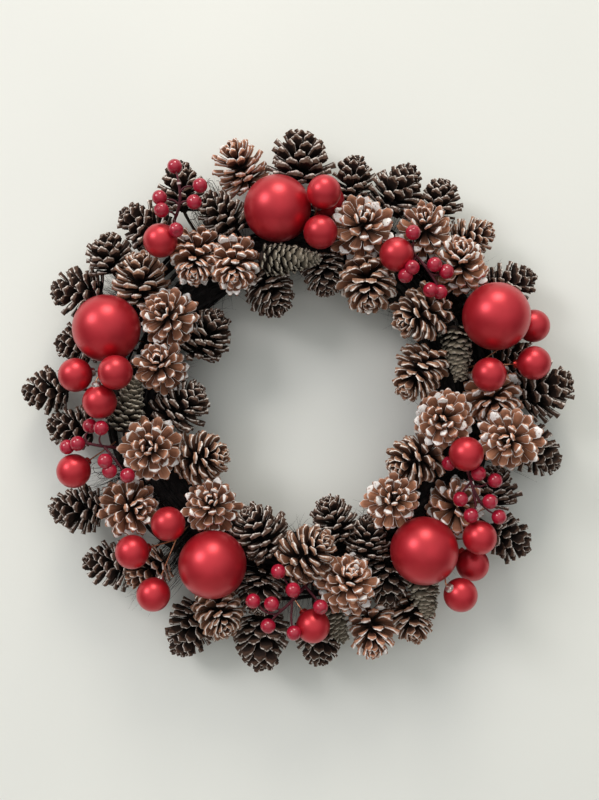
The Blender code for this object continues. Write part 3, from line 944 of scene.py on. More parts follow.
@dataclass(frozen=True)
class ScaleFinish:
    """The scales of one kind of cone: wood with painted or pale rims and a dark root.

    The root's darkness is partly the wood's own colour and partly painted shade in the gaps
    between the scales. reach is how far the paint comes in from the rim and dabs how many times
    further it comes on the most painted scales; cover is how much of that it covers, and wrap how
    far it goes round the edge, 0 being the inner face and 1 the outer one. sides is how much paint
    the side edges have, and dark_root_and_shade where the dark root with its painted shade ends.
    The pairs below it say where something starts and is full, and those named worn and patchy how
    fine it is, and how deep or soft.
    """

    name: str
    inner: tuple
    outer: tuple
    end: tuple
    # Near-black root colour: partly the wood's own dark brown, partly painted shade between the
    # scales
    root: tuple
    paint: tuple
    reach: float
    cover: float
    wrap: float
    dabs: float = 6.0
    sides: float = 1.0
    # Where the dark root, partly painted shade between the scales, gives way to the face
    dark_root_and_shade: tuple = (0.15, 0.66)
    side_start: tuple = (0.1, 0.6)
    tones: tuple = (0.3, 2.3)
    turned_out: tuple = (0.3, 0.9)
    pale_end: tuple = (0.84, 1.0)
    worn: tuple = (380.0, 0.11)
    patchy: tuple = (430.0, 0.25)
    apart: float = 40.0
    paint_edge: float = 0.05
    side_reach: float = 3.0
    side_edge: float = 0.03
    wrap_edge: float = 0.25
    streaks: float = 0.6
    roughness: float = 0.74
    rough_streaks: float = 0.15

    def material(self, effects: Effects) -> bpy.types.Material:
        """Build the material.

        Args:
            effects: The shared node groups.

        Returns:
            The material. It reads the UV map "scale", x across from 0 to 1 and y from root to
            end, and the attribute "marks": outer face, chance, frost and the cone's tone.
        """
        mat, tree, shader, place = new_material(self.name)
        uv = tree.add("UVMap", uv_map="scale").outputs["UV"]
        parts = tree.add("SeparateXYZ")
        tree.feed(parts, Vector=uv)
        marks = tree.add("SeparateColor")
        attribute = tree.add("Attribute", attribute_name="marks")
        tree.feed(marks, Color=attribute.outputs["Color"])
        under, chance, frost = (marks.outputs[key] for key in ("Red", "Green", "Blue"))
        offset = tree.add("CombineXYZ")
        tree.feed(offset, Z=tree.math("MULTIPLY", chance, self.apart))
        shifted = tree.add("VectorMath", operation="ADD")
        tree.feed(shifted, in0=uv, in1=offset.outputs[0])
        streak = effects.use(tree, effects.grain, Map=shifted.outputs[0], Across=10.0, Along=1.6)
        streak = tree.between(streak, *STREAK_SPREAD)

        endward = parts.outputs["Y"]
        centred = tree.math("SUBTRACT", tree.math("MULTIPLY", parts.outputs["X"], 2.0), 1.0)
        sideward = tree.math("ABSOLUTE", centred)
        wide = tree.math("MULTIPLY", sideward, tree.between(endward, *self.side_start))
        rim = tree.math("MAXIMUM", tree.math("MULTIPLY", wide, self.sides), endward)
        fineness, depth = self.worn
        worn = tree.math("SUBTRACT", tree.noise(place, fineness), 0.5)
        loose = tree.math("MULTIPLY", worn, depth)
        more = tree.math("MULTIPLY", frost, -self.dabs * self.reach)
        start = tree.math("ADD", more, 1.0 - self.reach)
        edge = tree.math("ADD", endward, loose)
        painted = tree.between(edge, start, tree.math("ADD", start, self.paint_edge))
        edge = tree.math("ADD", wide, loose)
        low = 1.0 - self.side_reach * self.reach
        edged = tree.between(edge, low, low + self.side_edge)
        painted = tree.math("MAXIMUM", painted, tree.math("MULTIPLY", edged, self.sides))
        fineness, softness = self.patchy
        values = {"Cover": self.cover, "Fineness": fineness, "Softness": softness}
        cover = effects.use(tree, effects.speckle, Vector=place, **values)
        painted = tree.math("MULTIPLY", painted, cover)
        bare = tree.between(under, self.wrap - self.wrap_edge, self.wrap + self.wrap_edge)
        painted = tree.math("MULTIPLY", painted, tree.math("SUBTRACT", 1.0, bare))

        tone = tree.math("ADD", tree.math("MULTIPLY", streak, self.streaks), chance)
        tone = tree.math("ADD", tone, attribute.outputs["Alpha"])
        face = tree.mix(tree.between(tone, *self.tones), self.inner, self.outer)
        face = tree.mix(tree.between(under, *self.turned_out), face, self.outer)
        face = tree.mix(tree.between(rim, *self.pale_end), face, self.end)
        # Darken toward the root colour: the wood's darker root and painted shade in the gaps
        # between scales
        root_with_shade = tree.mix(tree.between(endward, *self.dark_root_and_shade), self.root, face)
        final = tree.mix(painted, root_with_shade, self.paint)
        height = tree.math("ADD", tree.math("MULTIPLY", streak, self.streaks), painted)
        rough = tree.math("MULTIPLY", streak, self.rough_streaks)
        tree.feed(
            shader,
            Base_Color=final,
            Roughness=tree.math("ADD", self.roughness, rough),
            Normal=tree.bump(0.45, 0.25 * MM, height),
            Specular_IOR_Level=0.25,
        )
        return mat


@dataclass(frozen=True)
class TwigFinish:
    """Dark bark or fibre, mottled, with a grain that follows the piece."""

    name: str
    dark: tuple
    light: tuple
    fineness: float
    roughness: float = 0.85
    mottled: tuple = (0.35, 0.75)
    finer: float = 6.0
    rough_spread: float = 0.2

    def material(self) -> bpy.types.Material:
        """Build the material on object coordinates.

        Returns:
            The material.
        """
        mat, tree, shader, place = new_material(self.name)
        coarse = tree.noise(place, self.fineness, 4.0)
        fine = tree.noise(place, self.fineness * self.finer, 2.0)
        tone = tree.math("MULTIPLY", tree.between(coarse, *self.mottled), fine)
        rough = tree.math("MULTIPLY", fine, self.rough_spread)
        tree.feed(
            shader,
            Base_Color=tree.mix(tone, self.dark, self.light),
            Roughness=tree.math("ADD", self.roughness - self.rough_spread / 2, rough),
            Normal=tree.bump(0.6, 0.3 * MM, tree.math("ADD", coarse, fine)),
            Specular_IOR_Level=0.3,
        )
        return mat


@dataclass(frozen=True)
class LacquerFinish:
    """A coloured coat on a ball: satin on a bauble, glossy on a berry, with faint mottling."""

    name: str
    deep: tuple
    bright: tuple
    roughness: float
    gloss: float
    gloss_roughness: float
    fineness: float = 45.0
    metal: float = 0.0
    shine: float = 0.5
    specks: float = 2600.0
    rough_spread: float = 0.06

    def material(self) -> bpy.types.Material:
        """Build the material on object coordinates.

        Returns:
            The material.
        """
        mat, tree, shader, place = new_material(self.name)
        cloud = tree.between(tree.noise(place, self.fineness, 2.0), *STREAK_SPREAD)
        fine = tree.noise(place, self.specks, 2.0)
        rough = tree.math("MULTIPLY", fine, self.rough_spread)
        tree.feed(
            shader,
            Base_Color=tree.mix(cloud, self.deep, self.bright),
            Roughness=tree.math("ADD", self.roughness - self.rough_spread / 2, rough),
            Normal=tree.bump(0.08, 0.05 * MM, fine),
            Metallic=self.metal,
            Specular_IOR_Level=self.shine,
            Coat_Weight=self.gloss,
            Coat_Roughness=self.gloss_roughness,
        )
        return mat


@dataclass(frozen=True)
class MetalFinish:
    """Thin metal of a cap or wire, a little tarnished."""

    name: str
    clean: tuple
    dull: tuple
    roughness: float
    fineness: float = 700.0
    rough_spread: float = 0.25

    def material(self, effects: Effects) -> bpy.types.Material:
        """Build the material on object coordinates.

        Args:
            effects: The shared node groups.

        Returns:
            The material.
        """
        mat, tree, shader, place = new_material(self.name)
        values = {"Cover": 0.4, "Fineness": self.fineness, "Softness": 0.3}
        tarnish = effects.use(tree, effects.speckle, Vector=place, **values)
        rough = tree.math("MULTIPLY", tarnish, self.rough_spread)
        tree.feed(
            shader,
            Base_Color=tree.mix(tarnish, self.clean, self.dull),
            Roughness=tree.math("ADD", self.roughness, rough),
            Metallic=1.0,
        )
        return mat


@dataclass(frozen=True)
class WallFinish:
    """The matt paint of the wall and floor; the wall is clear from behind."""

    name: str
    light: tuple
    shade: tuple
    one_sided: bool
    clouds: float = 2.2
    plaster: float = 260.0

    def material(self) -> bpy.types.Material:
        """Build the material on object coordinates.

        Returns:
            The material.
        """
        mat, tree, shader, place = new_material(self.name)
        cloud = tree.between(tree.noise(place, self.clouds, 2.0), *STREAK_SPREAD)
        tree.feed(
            shader,
            Base_Color=tree.mix(cloud, self.light, self.shade),
            Roughness=0.9,
            Normal=tree.bump(0.15, 0.3 * MM, tree.noise(place, self.plaster)),
        )
        if self.one_sided:
            clear = tree.add("BsdfTransparent")
            choice = tree.add("MixShader")
            behind = tree.add("NewGeometry").outputs["Backfacing"]
            tree.feed(choice, in0=behind, in1=shader.outputs[0], in2=clear.outputs[0])
            end = tree.tree.nodes["Material Output"]
            tree.tree.links.new(choice.outputs[0], end.inputs["Surface"])
        return mat


# Each kind's root colour and dark_root_and_shade span darken the scales near their roots: partly
# the wood's colour, partly painted shade between the scales
SCALE_FINISHES = {
    Kind.FROSTED: ScaleFinish(
        "frosted_scales",
        inner=colour(0.37, 0.160, 0.087),
        outer=colour(0.13, 0.052, 0.030),
        end=colour(0.46, 0.22, 0.13),
        # near-black root: dark wood and painted shade between the scales
        root=colour(0.012, 0.006, 0.004),
        paint=colour(0.93, 0.90, 0.86),
        reach=0.030,
        cover=0.90,
        wrap=0.34,
        dabs=11.0,
        dark_root_and_shade=(0.16, 0.78),
    ),
    Kind.BROWN: ScaleFinish(
        "brown_scales",
        inner=colour(0.25, 0.105, 0.056),
        outer=colour(0.075, 0.032, 0.019),
        end=colour(0.30, 0.155, 0.092),
        # near-black root: dark wood and painted shade between the scales
        root=colour(0.008, 0.004, 0.003),
        paint=colour(0.88, 0.82, 0.75),
        reach=0.030,
        cover=0.84,
        wrap=0.34,
        dabs=9.0,
        dark_root_and_shade=(0.25, 0.82),
    ),
    Kind.DARK: ScaleFinish(
        "dark_scales",
        inner=colour(0.060, 0.029, 0.018),
        outer=colour(0.020, 0.011, 0.008),
        end=colour(0.078, 0.041, 0.026),
        # near-black root: dark wood and painted shade between the scales
        root=colour(0.004, 0.003, 0.002),
        paint=colour(0.78, 0.71, 0.64),
        reach=0.030,
        cover=0.68,
        wrap=0.30,
        dabs=5.0,
        dark_root_and_shade=(0.3, 0.8),
    ),
    Kind.CLOSED: ScaleFinish(
        "grey_scales",
        inner=colour(0.060, 0.050, 0.036),
        outer=colour(0.100, 0.085, 0.060),
        end=colour(0.30, 0.265, 0.20),
        # near-black root: dark wood and painted shade between the scales
        root=colour(0.006, 0.005, 0.004),
        paint=colour(0.62, 0.58, 0.49),
        reach=0.10,
        cover=0.85,
        wrap=0.8,
        dabs=0.5,
        sides=0.0,
        dark_root_and_shade=(0.35, 0.85),
    ),
}
CORE = TwigFinish(
    "cone_core", dark=colour(0.012, 0.007, 0.005), light=colour(0.06, 0.033, 0.02), fineness=220.0
)
TWIG = TwigFinish(
    "dark_twig",
    dark=colour(0.006, 0.005, 0.005),
    light=colour(0.045, 0.037, 0.033),
    fineness=150.0,
)
STEM = TwigFinish(
    "red_stem",
    dark=colour(0.060, 0.008, 0.014),
    light=colour(0.17, 0.02, 0.035),
    fineness=260.0,
    roughness=0.6,
)
SATIN = LacquerFinish(
    "satin_red",
    deep=colour(0.44, 0.009, 0.018),
    bright=colour(0.52, 0.014, 0.026),
    roughness=0.37,
    gloss=0.4,
    gloss_roughness=0.36,
    metal=0.55,
)
GLOSS = LacquerFinish(
    "glossy_red",
    deep=colour(0.30, 0.003, 0.020),
    bright=colour(0.39, 0.006, 0.030),
    roughness=0.5,
    gloss=1.0,
    gloss_roughness=0.03,
    fineness=160.0,
    shine=0.15,
)
CUT_END = TwigFinish(
    "cut_end", dark=colour(0.55, 0.42, 0.40), light=colour(0.80, 0.72, 0.70), fineness=400.0
)
COPPER = MetalFinish(
    "copper_wire", clean=colour(0.72, 0.36, 0.20), dull=colour(0.32, 0.15, 0.09), roughness=0.32
)
SILVER = MetalFinish(
    "cap_metal", clean=colour(0.75, 0.72, 0.68), dull=colour(0.42, 0.36, 0.32), roughness=0.28
)
RED_METAL = MetalFinish(
    "red_cap_metal", clean=colour(0.62, 0.06, 0.05), dull=colour(0.30, 0.03, 0.03), roughness=0.34
)
WALL = WallFinish(
    "wall_paint",
    light=colour(0.785, 0.80, 0.745),
    shade=colour(0.75, 0.765, 0.715),
    one_sided=True,
)
FLOOR = WallFinish(
    "floor_paint",
    light=colour(0.54, 0.53, 0.51),
    shade=colour(0.50, 0.49, 0.47),
    one_sided=False,
)


class ScaleShape(NamedTuple):
    """One modelled scale, as arrays that copies are made from."""

    points: np.ndarray
    faces: np.ndarray
    across: np.ndarray
    along: np.ndarray
    under: np.ndarray


@dataclass(frozen=True)
class ScaleForm:
    """One woody scale, a unit long: a spoon that widens from its root to a blunt, thick end.

    rows are its places from root to end, outline its half width at each and crown how far the
    middle of each runs on past its sides. cup is how far its sides turn up, curl how far its end
    does and swell how far its outer face stands out near the end.
    """

    rows: tuple
    outline: tuple
    crown: tuple
    cup: float
    curl: float
    thick: float
    swell: float
    columns: int = 4
    root_thick: float = 0.3

    def blade(self, name: str) -> bpy.types.Object:
        """Model the scale's inner face: a grid, with each row and column moved to its place.

        Args:
            name: The object's name.

        Returns:
            The face, which runs along +Y from the origin.
        """
        count = len(self.rows) - 1
        obj = begin(
            name,
            bpy.ops.mesh.primitive_grid_add,
            x_subdivisions=self.columns,
            y_subdivisions=count,
            size=1.0,
            location=(0.0, 0.5, 0.0),
        )
        place_in_mesh(obj, Matrix.Identity(4))
        close = 0.25 / count
        with editing(obj):
            for column in range(self.columns + 1):
                x = column / self.columns - 0.5
                pick(obj, lambda co: abs(co.x - x) < close)
                bpy.ops.transform.translate(value=(0.0, 0.0, self.cup * (2 * x) ** 2))
            for row in range(count, -1, -1):
                even, share = row / count, self.rows[row]
                pick(obj, lambda co: abs(co.y - even) < close)
                bpy.ops.transform.resize(value=(2 * self.outline[row], 1.0, 1.0))
                bpy.ops.transform.translate(value=(0.0, share - even, self.curl * share * share))
        return obj

    def model(self, name: str) -> ScaleShape:
        """Model the scale once.

        Args:
            name: The object's name while it is modelled.

        Returns:
            The scale's shape.
        """
        obj = self.blade(name)
        verts = obj.data.vertices
        count = len(verts)
        flat = np.array([v.co for v in verts])
        along = flat[:, 1].copy()
        row_of = np.abs(along[:, None] - np.array(self.rows)[None, :]).argmin(axis=1)
        across = flat[:, 0] / np.array(self.outline)[row_of]
        group = obj.vertex_groups.new(name="thick")
        for index, share in enumerate(along):
            thick = self.root_thick + (1 - self.root_thick) * float(share)
            group.add([index], thick, "REPLACE")
        for index, vert in enumerate(verts):
            vert.co.y += self.crown[row_of[index]] * (1 - across[index] ** 2)
        apply_modifier(
            obj, "wall", "SOLIDIFY", thickness=self.thick, offset=-1.0, vertex_group="thick"
        )
        points = np.array([v.co for v in obj.data.vertices])
        across, along = np.tile(across, 2), np.tile(along, 2)
        outer = np.arange(len(points)) >= count
        points[:, 2] -= outer * self.swell * (1 - across**2) * np.clip(along, 0, 1) ** 3
        faces = np.array([tuple(p.vertices) for p in obj.data.polygons])
        bpy.data.objects.remove(obj)
        return ScaleShape(points, faces, across, along, outer.astype(float))


@dataclass(frozen=True)
class ConeForm:
    """How the scales stand on one kind of cone.

    Angles are in degrees from the cone's axis, at its base and at its tip; reach and breadth are
    a scale's length and width at PLACES from base to tip, as shares of half the cone's width;
    low is the root of the first scale as a share of the cone's length, from its middle.
    """

    scales: int
    base_angle: float
    tip_angle: float
    reach: tuple
    breadth: tuple
    core: float
    form: ScaleForm
    frost: float = 0.6
    low: float = -0.42
    ease: float = 1.0
    plump: float = 1.0


PLACES = (0.0, 0.25, 0.5, 0.75, 1.0)
ROWS = (0.0, 0.30, 0.56, 0.78, 0.93, 1.0)
SPOON = ScaleForm(
    rows=ROWS,
    outline=(0.36, 0.50, 0.74, 0.98, 1.0, 0.62),
    crown=(0.0, 0.0, 0.01, 0.02, 0.05, 0.08),
    cup=-0.06,
    curl=0.13,
    thick=0.12,
    swell=0.07,
)
SHOVEL = ScaleForm(
    rows=ROWS,
    outline=(0.38, 0.52, 0.76, 1.0, 0.95, 0.52),
    crown=(0.0, 0.0, 0.01, 0.03, 0.06, 0.09),
    cup=-0.06,
    curl=0.18,
    thick=0.14,
    swell=0.09,
)
SHIELD = ScaleForm(
    rows=ROWS,
    outline=(0.60, 0.84, 1.0, 0.98, 0.78, 0.40),
    crown=(0.0, 0.0, 0.02, 0.06, 0.10, 0.14),
    cup=0.10,
    curl=-0.06,
    thick=0.12,
    swell=0.05,
)
CONE_FORMS = {
    Kind.FROSTED: ConeForm(
        scales=48,
        base_angle=100,
        tip_angle=8,
        reach=(0.84, 1.0, 0.98, 0.86, 0.52),
        breadth=(0.36, 0.40, 0.39, 0.33, 0.20),
        core=0.14,
        form=SPOON,
        frost=1.0,
        ease=1.9,
        plump=1.0,
    ),
    Kind.BROWN: ConeForm(
        scales=50,
        base_angle=97,
        tip_angle=10,
        reach=(0.80, 1.0, 0.98, 0.82, 0.46),
        breadth=(0.36, 0.43, 0.43, 0.35, 0.21),
        core=0.14,
        form=SPOON,
        ease=2.0,
        plump=0.98,
    ),
    Kind.DARK: ConeForm(
        scales=52,
        base_angle=92,
        tip_angle=12,
        reach=(0.76, 1.0, 0.97, 0.78, 0.42),
        breadth=(0.38, 0.48, 0.48, 0.40, 0.24),
        core=0.20,
        form=SHOVEL,
        ease=1.9,
        plump=0.94,
    ),
    Kind.CLOSED: ConeForm(
        scales=92,
        base_angle=58,
        tip_angle=8,
        reach=(0.52, 0.60, 0.60, 0.56, 0.44),
        breadth=(0.56, 0.66, 0.66, 0.54, 0.32),
        core=0.62,
        form=SHIELD,
        low=-0.46,
        plump=1.04,
    ),
}


@dataclass
class ConeMaker:
    """Builds every pine cone of the wreath, scale by scale."""

    effects: Effects
    angle_chance: float = 5.0
    size_chance: float = 0.075
    turn_chance: float = 8.0
    stalk_radius: float = 1.7 * MM
    stalk_taper: float = 0.6
    stub: float = 4 * MM
    core_share: float = 0.84
    core_sides: int = 10
    core_taper: float = 0.35
    core_end: float = 0.9
    butt: float = 0.04
    butt_taper: float = 0.75
    sunk: float = 0.8
    frosted: tuple = (0.45, 1.0)
    frost_rarity: float = 3.2
    sharp_angle: float = 55.0
    wall_room: float = 0.5 * MM
    front_limit: float = -108.5 * MM
    side_on: float = 56.0
    fuller: float = 1.32
    flatter: float = 0.82

    def __post_init__(self) -> None:
        """Model one scale of each form and dress the kinds."""
        self.shapes = {kind: form.form.model("scale") for kind, form in CONE_FORMS.items()}
        self.scale_looks = {k: f.material(self.effects) for k, f in SCALE_FINISHES.items()}
        self.core_look = CORE.material()

    def form(self, cone: Cone) -> ConeForm:
        """A cone's form: the cones that are seen from the side are the less open ones.

        Args:
            cone: The cone.

        Returns:
            The form, with more scales where the cone is seen from the side.
        """
        form = CONE_FORMS[cone.kind]
        if cone.kind is Kind.CLOSED or cone.facing > self.side_on:
            return form
        scales = round(form.scales * self.fuller)
        return replace(form, scales=scales, ease=form.ease * self.flatter)

    def scale_rows(self, cone: Cone, rng: np.random.Generator) -> tuple:
        """Where each scale of a cone stands.

        Args:
            cone: The cone.
            rng: The source of small differences between scales.

        Returns:
            For each scale: its root's height, its turn about the axis, its angle from the axis,
            its length, its breadth and its roll.
        """
        form = self.form(cone)
        half = form.plump * cone.width * MM / 2
        length = cone.length * MM
        share = (np.arange(form.scales) + 0.5) / form.scales
        last = half * form.reach[-1] * math.cos(math.radians(form.tip_angle))
        low, high = form.low * length, length / 2 - last
        height = low + (high - low) * share
        turn = GOLDEN_TURN * np.arange(form.scales)
        lean = form.base_angle + (form.tip_angle - form.base_angle) * share**form.ease
        lean = np.radians(lean + rng.normal(0, self.angle_chance, form.scales))
        reach = half * np.interp(share, PLACES, form.reach)
        reach *= 1 + rng.normal(0, self.size_chance, form.scales)
        breadth = half * np.interp(share, PLACES, form.breadth)
        breadth *= 1 + rng.normal(0, self.size_chance, form.scales)
        roll = np.radians(rng.normal(0, self.turn_chance, form.scales))
        return height, turn, lean, reach, breadth, roll

    def scales(self, cone: Cone, rng: np.random.Generator) -> bpy.types.Object:
        """All scales of a cone as one mesh, along +Z about its middle.

        Args:
            cone: The cone.
            rng: The source of small differences between scales.

        Returns:
            The object, with its UV map and its marks.
        """
        form, shape = self.form(cone), self.shapes[cone.kind]
        height, turn, lean, reach, breadth, roll = self.scale_rows(cone, rng)
        count, per = form.scales, len(shape.points)
        rise = np.linspace(0, 1, count)
        core = form.core * cone.width * MM / 2 * (1 - (1 - self.core_taper) * rise)
        local = np.repeat(shape.points[None], count, axis=0)
        local = local * np.stack([breadth / 2, reach, reach], axis=1)[:, None, :]
        rolled_x = local[..., 0] * np.cos(roll)[:, None] - local[..., 2] * np.sin(roll)[:, None]
        rolled_z = local[..., 0] * np.sin(roll)[:, None] + local[..., 2] * np.cos(roll)[:, None]
        out = np.stack([np.cos(turn), np.sin(turn), np.zeros(count)], axis=1)
        side = np.stack([np.sin(turn), -np.cos(turn), np.zeros(count)], axis=1)
        axis = np.array([0.0, 0.0, 1.0])
        way = out * np.sin(lean)[:, None] + axis * np.cos(lean)[:, None]
        up = np.cross(side, way)
        root = out * (core * self.sunk)[:, None] + axis * height[:, None]
        points = root[:, None, :] + rolled_x[..., None] * side[:, None, :]
        points = points + local[..., 1:2] * way[:, None, :] + rolled_z[..., None] * up[:, None, :]
        faces = (shape.faces[None] + (np.arange(count) * per)[:, None, None]).reshape(-1, 4)
        obj = from_arrays("scales", points, faces.tolist())
        chance = rng.random(count)
        frost = form.frost * rng.uniform(*self.frosted) * rng.random(count) ** self.frost_rarity
        self.write_marks(obj.data, shape, chance, frost, rng.random())
        obj.data.set_sharp_from_angle(angle=math.radians(self.sharp_angle))
        return dress(obj, self.scale_looks[cone.kind])

    def write_marks(
        self,
        mesh: bpy.types.Mesh,
        shape: ScaleShape,
        chance: np.ndarray,
        frost: np.ndarray,
        tone: float,
    ) -> None:
        """Write the UV map "scale" and the attribute "marks" that the finish reads.

        Args:
            mesh: The mesh of all scales.
            shape: The one scale that they repeat.
            chance: One number of each scale, from 0 to 1.
            frost: How much more paint each scale has, from 0 to 1.
            tone: How dark the cone is, from 0 to 1.
        """
        count, per = len(chance), len(shape.points)
        loops = np.zeros(len(mesh.loops), dtype=np.int32)
        mesh.loops.foreach_get("vertex_index", loops)
        uv = np.stack([np.tile(shape.across * 0.5 + 0.5, count), np.tile(shape.along, count)], 1)
        layer = mesh.uv_layers.new(name="scale")
        layer.data.foreach_set("uv", uv[loops].astype(np.float32).reshape(-1))
        marks = np.ones((count * per, 4), dtype=np.float32)
        marks[:, 0] = np.tile(shape.under, count)
        marks[:, 1] = np.repeat(chance, per)
        marks[:, 2] = np.repeat(frost, per)
        marks[:, 3] = tone
        attribute = mesh.attributes.new("marks", "FLOAT_COLOR", "POINT")
        attribute.data.foreach_set("color", marks.reshape(-1))

    def core(self, cone: Cone) -> bpy.types.Object:
        """The cone's spindle, pulled in at both ends, and the butt of its stalk.

        Args:
            cone: The cone.

        Returns:
            The spindle, along +Z about the cone's middle.
        """
        form = CONE_FORMS[cone.kind]
        radius = form.core * cone.width * MM / 2
        length = cone.length * MM
        obj = begin(
            "core",
            bpy.ops.mesh.primitive_cylinder_add,
            vertices=self.core_sides,
            radius=radius,
            depth=length * self.core_share,
        )
        top = length * self.core_share / 2
        with editing(obj):
            pick(obj, lambda co: co.z > top * self.core_end)
            bpy.ops.transform.resize(value=(self.core_taper, self.core_taper, 1.0))
            pick(obj, lambda co: co.z < -top * self.core_end)
            bpy.ops.mesh.extrude_region_move(
                TRANSFORM_OT_translate={"value": (0.0, 0.0, -length * self.butt)}
            )
            bpy.ops.transform.resize(value=(self.butt_taper, self.butt_taper, 1.0))
        bpy.ops.object.shade_smooth()
        return dress(obj, self.core_look)

    def build(self, number: int, cone: Cone, middle: Vector, node: str) -> bpy.types.Object:
        """One cone with its wire, in its place.

        Args:
            number: The cone's number, from 1.
            cone: The cone.
            middle: Its middle, about the wreath's centre.
            node: The CAD node that it is, or is part of.

        Returns:
            The finished piece.
        """
        rng = np.random.default_rng(SEED + number)
        way = tip_direction(cone)
        roll = Matrix.Rotation((number - 1) * ROLL_STEP, 4, "Z")
        matrix = aligned(hung(middle), way) @ roll
        scales = place_in_mesh(self.scales(cone, rng), matrix)
        depths = [vert.co.y for vert in scales.data.vertices]
        shift = min(0.0, -self.wall_room - max(depths)) + max(0.0, self.front_limit - min(depths))
        forward = Matrix.Translation((0.0, shift, 0.0))
        scales.data.transform(forward)
        core = place_in_mesh(self.core(cone), forward @ matrix)
        base = middle - way * cone.length * MM * self.core_share / 2
        knee = base - way * self.stub
        thin = self.stalk_radius * self.stalk_taper
        stalk = kneed_wire("stalk", base, knee, ring_middle(base), self.stalk_radius, thin)
        dress(stalk, self.core_look)
        name = f"{cone.kind.value}_cone_{number:02d}"
        return mount(join(name, [scales, core, stalk]), f"cone_{SLOT_OF[cone.kind]}", node)


SLOT_OF = {
    Kind.FROSTED: "frosted",
    Kind.BROWN: "brown",
    Kind.DARK: "dark",
    Kind.CLOSED: "grey",
}


def node_of(cone: Cone) -> str:
    """The CAD node that a cone belongs to."""
    alone = sum(other.bunch == cone.bunch for other in CONES) == 1
    return f"pine_cone_{cone.bunch:02d}" if alone else f"pine_cones_{cone.bunch:02d}"


# Tufts of fibre that fill the gaps between cones: middle on the front view and depth
TUFTS = (
    (175, 560, 34),
    (168, 545, 30),
    (112, 458, 30),
    (100, 488, 28),
    (107, 288, 26),
    (390, 215, 30),
    (205, 200, 30),
    (440, 560, 32),
    (150, 590, 26),
    (346, 580, 30),
    (327, 588, 34),
    (241, 240, 34),
    (166, 347, 34),
    (182, 296, 34),
    (196, 276, 32),
    (204, 488, 30),
    (484, 278, 28),
    (517, 400, 26),
    (524, 455, 24),
    (140, 510, 34),
    (290, 605, 34),
    (476, 490, 34),
)
# Curled hairs that stand clear of the cones: middle on the front view and depth
CURLS = (
    (212, 184, 34),
    (197, 216, 44),
    (214, 292, 24),
    (360, 597, 34),
    (322, 588, 36),
    (98, 470, 36),
)


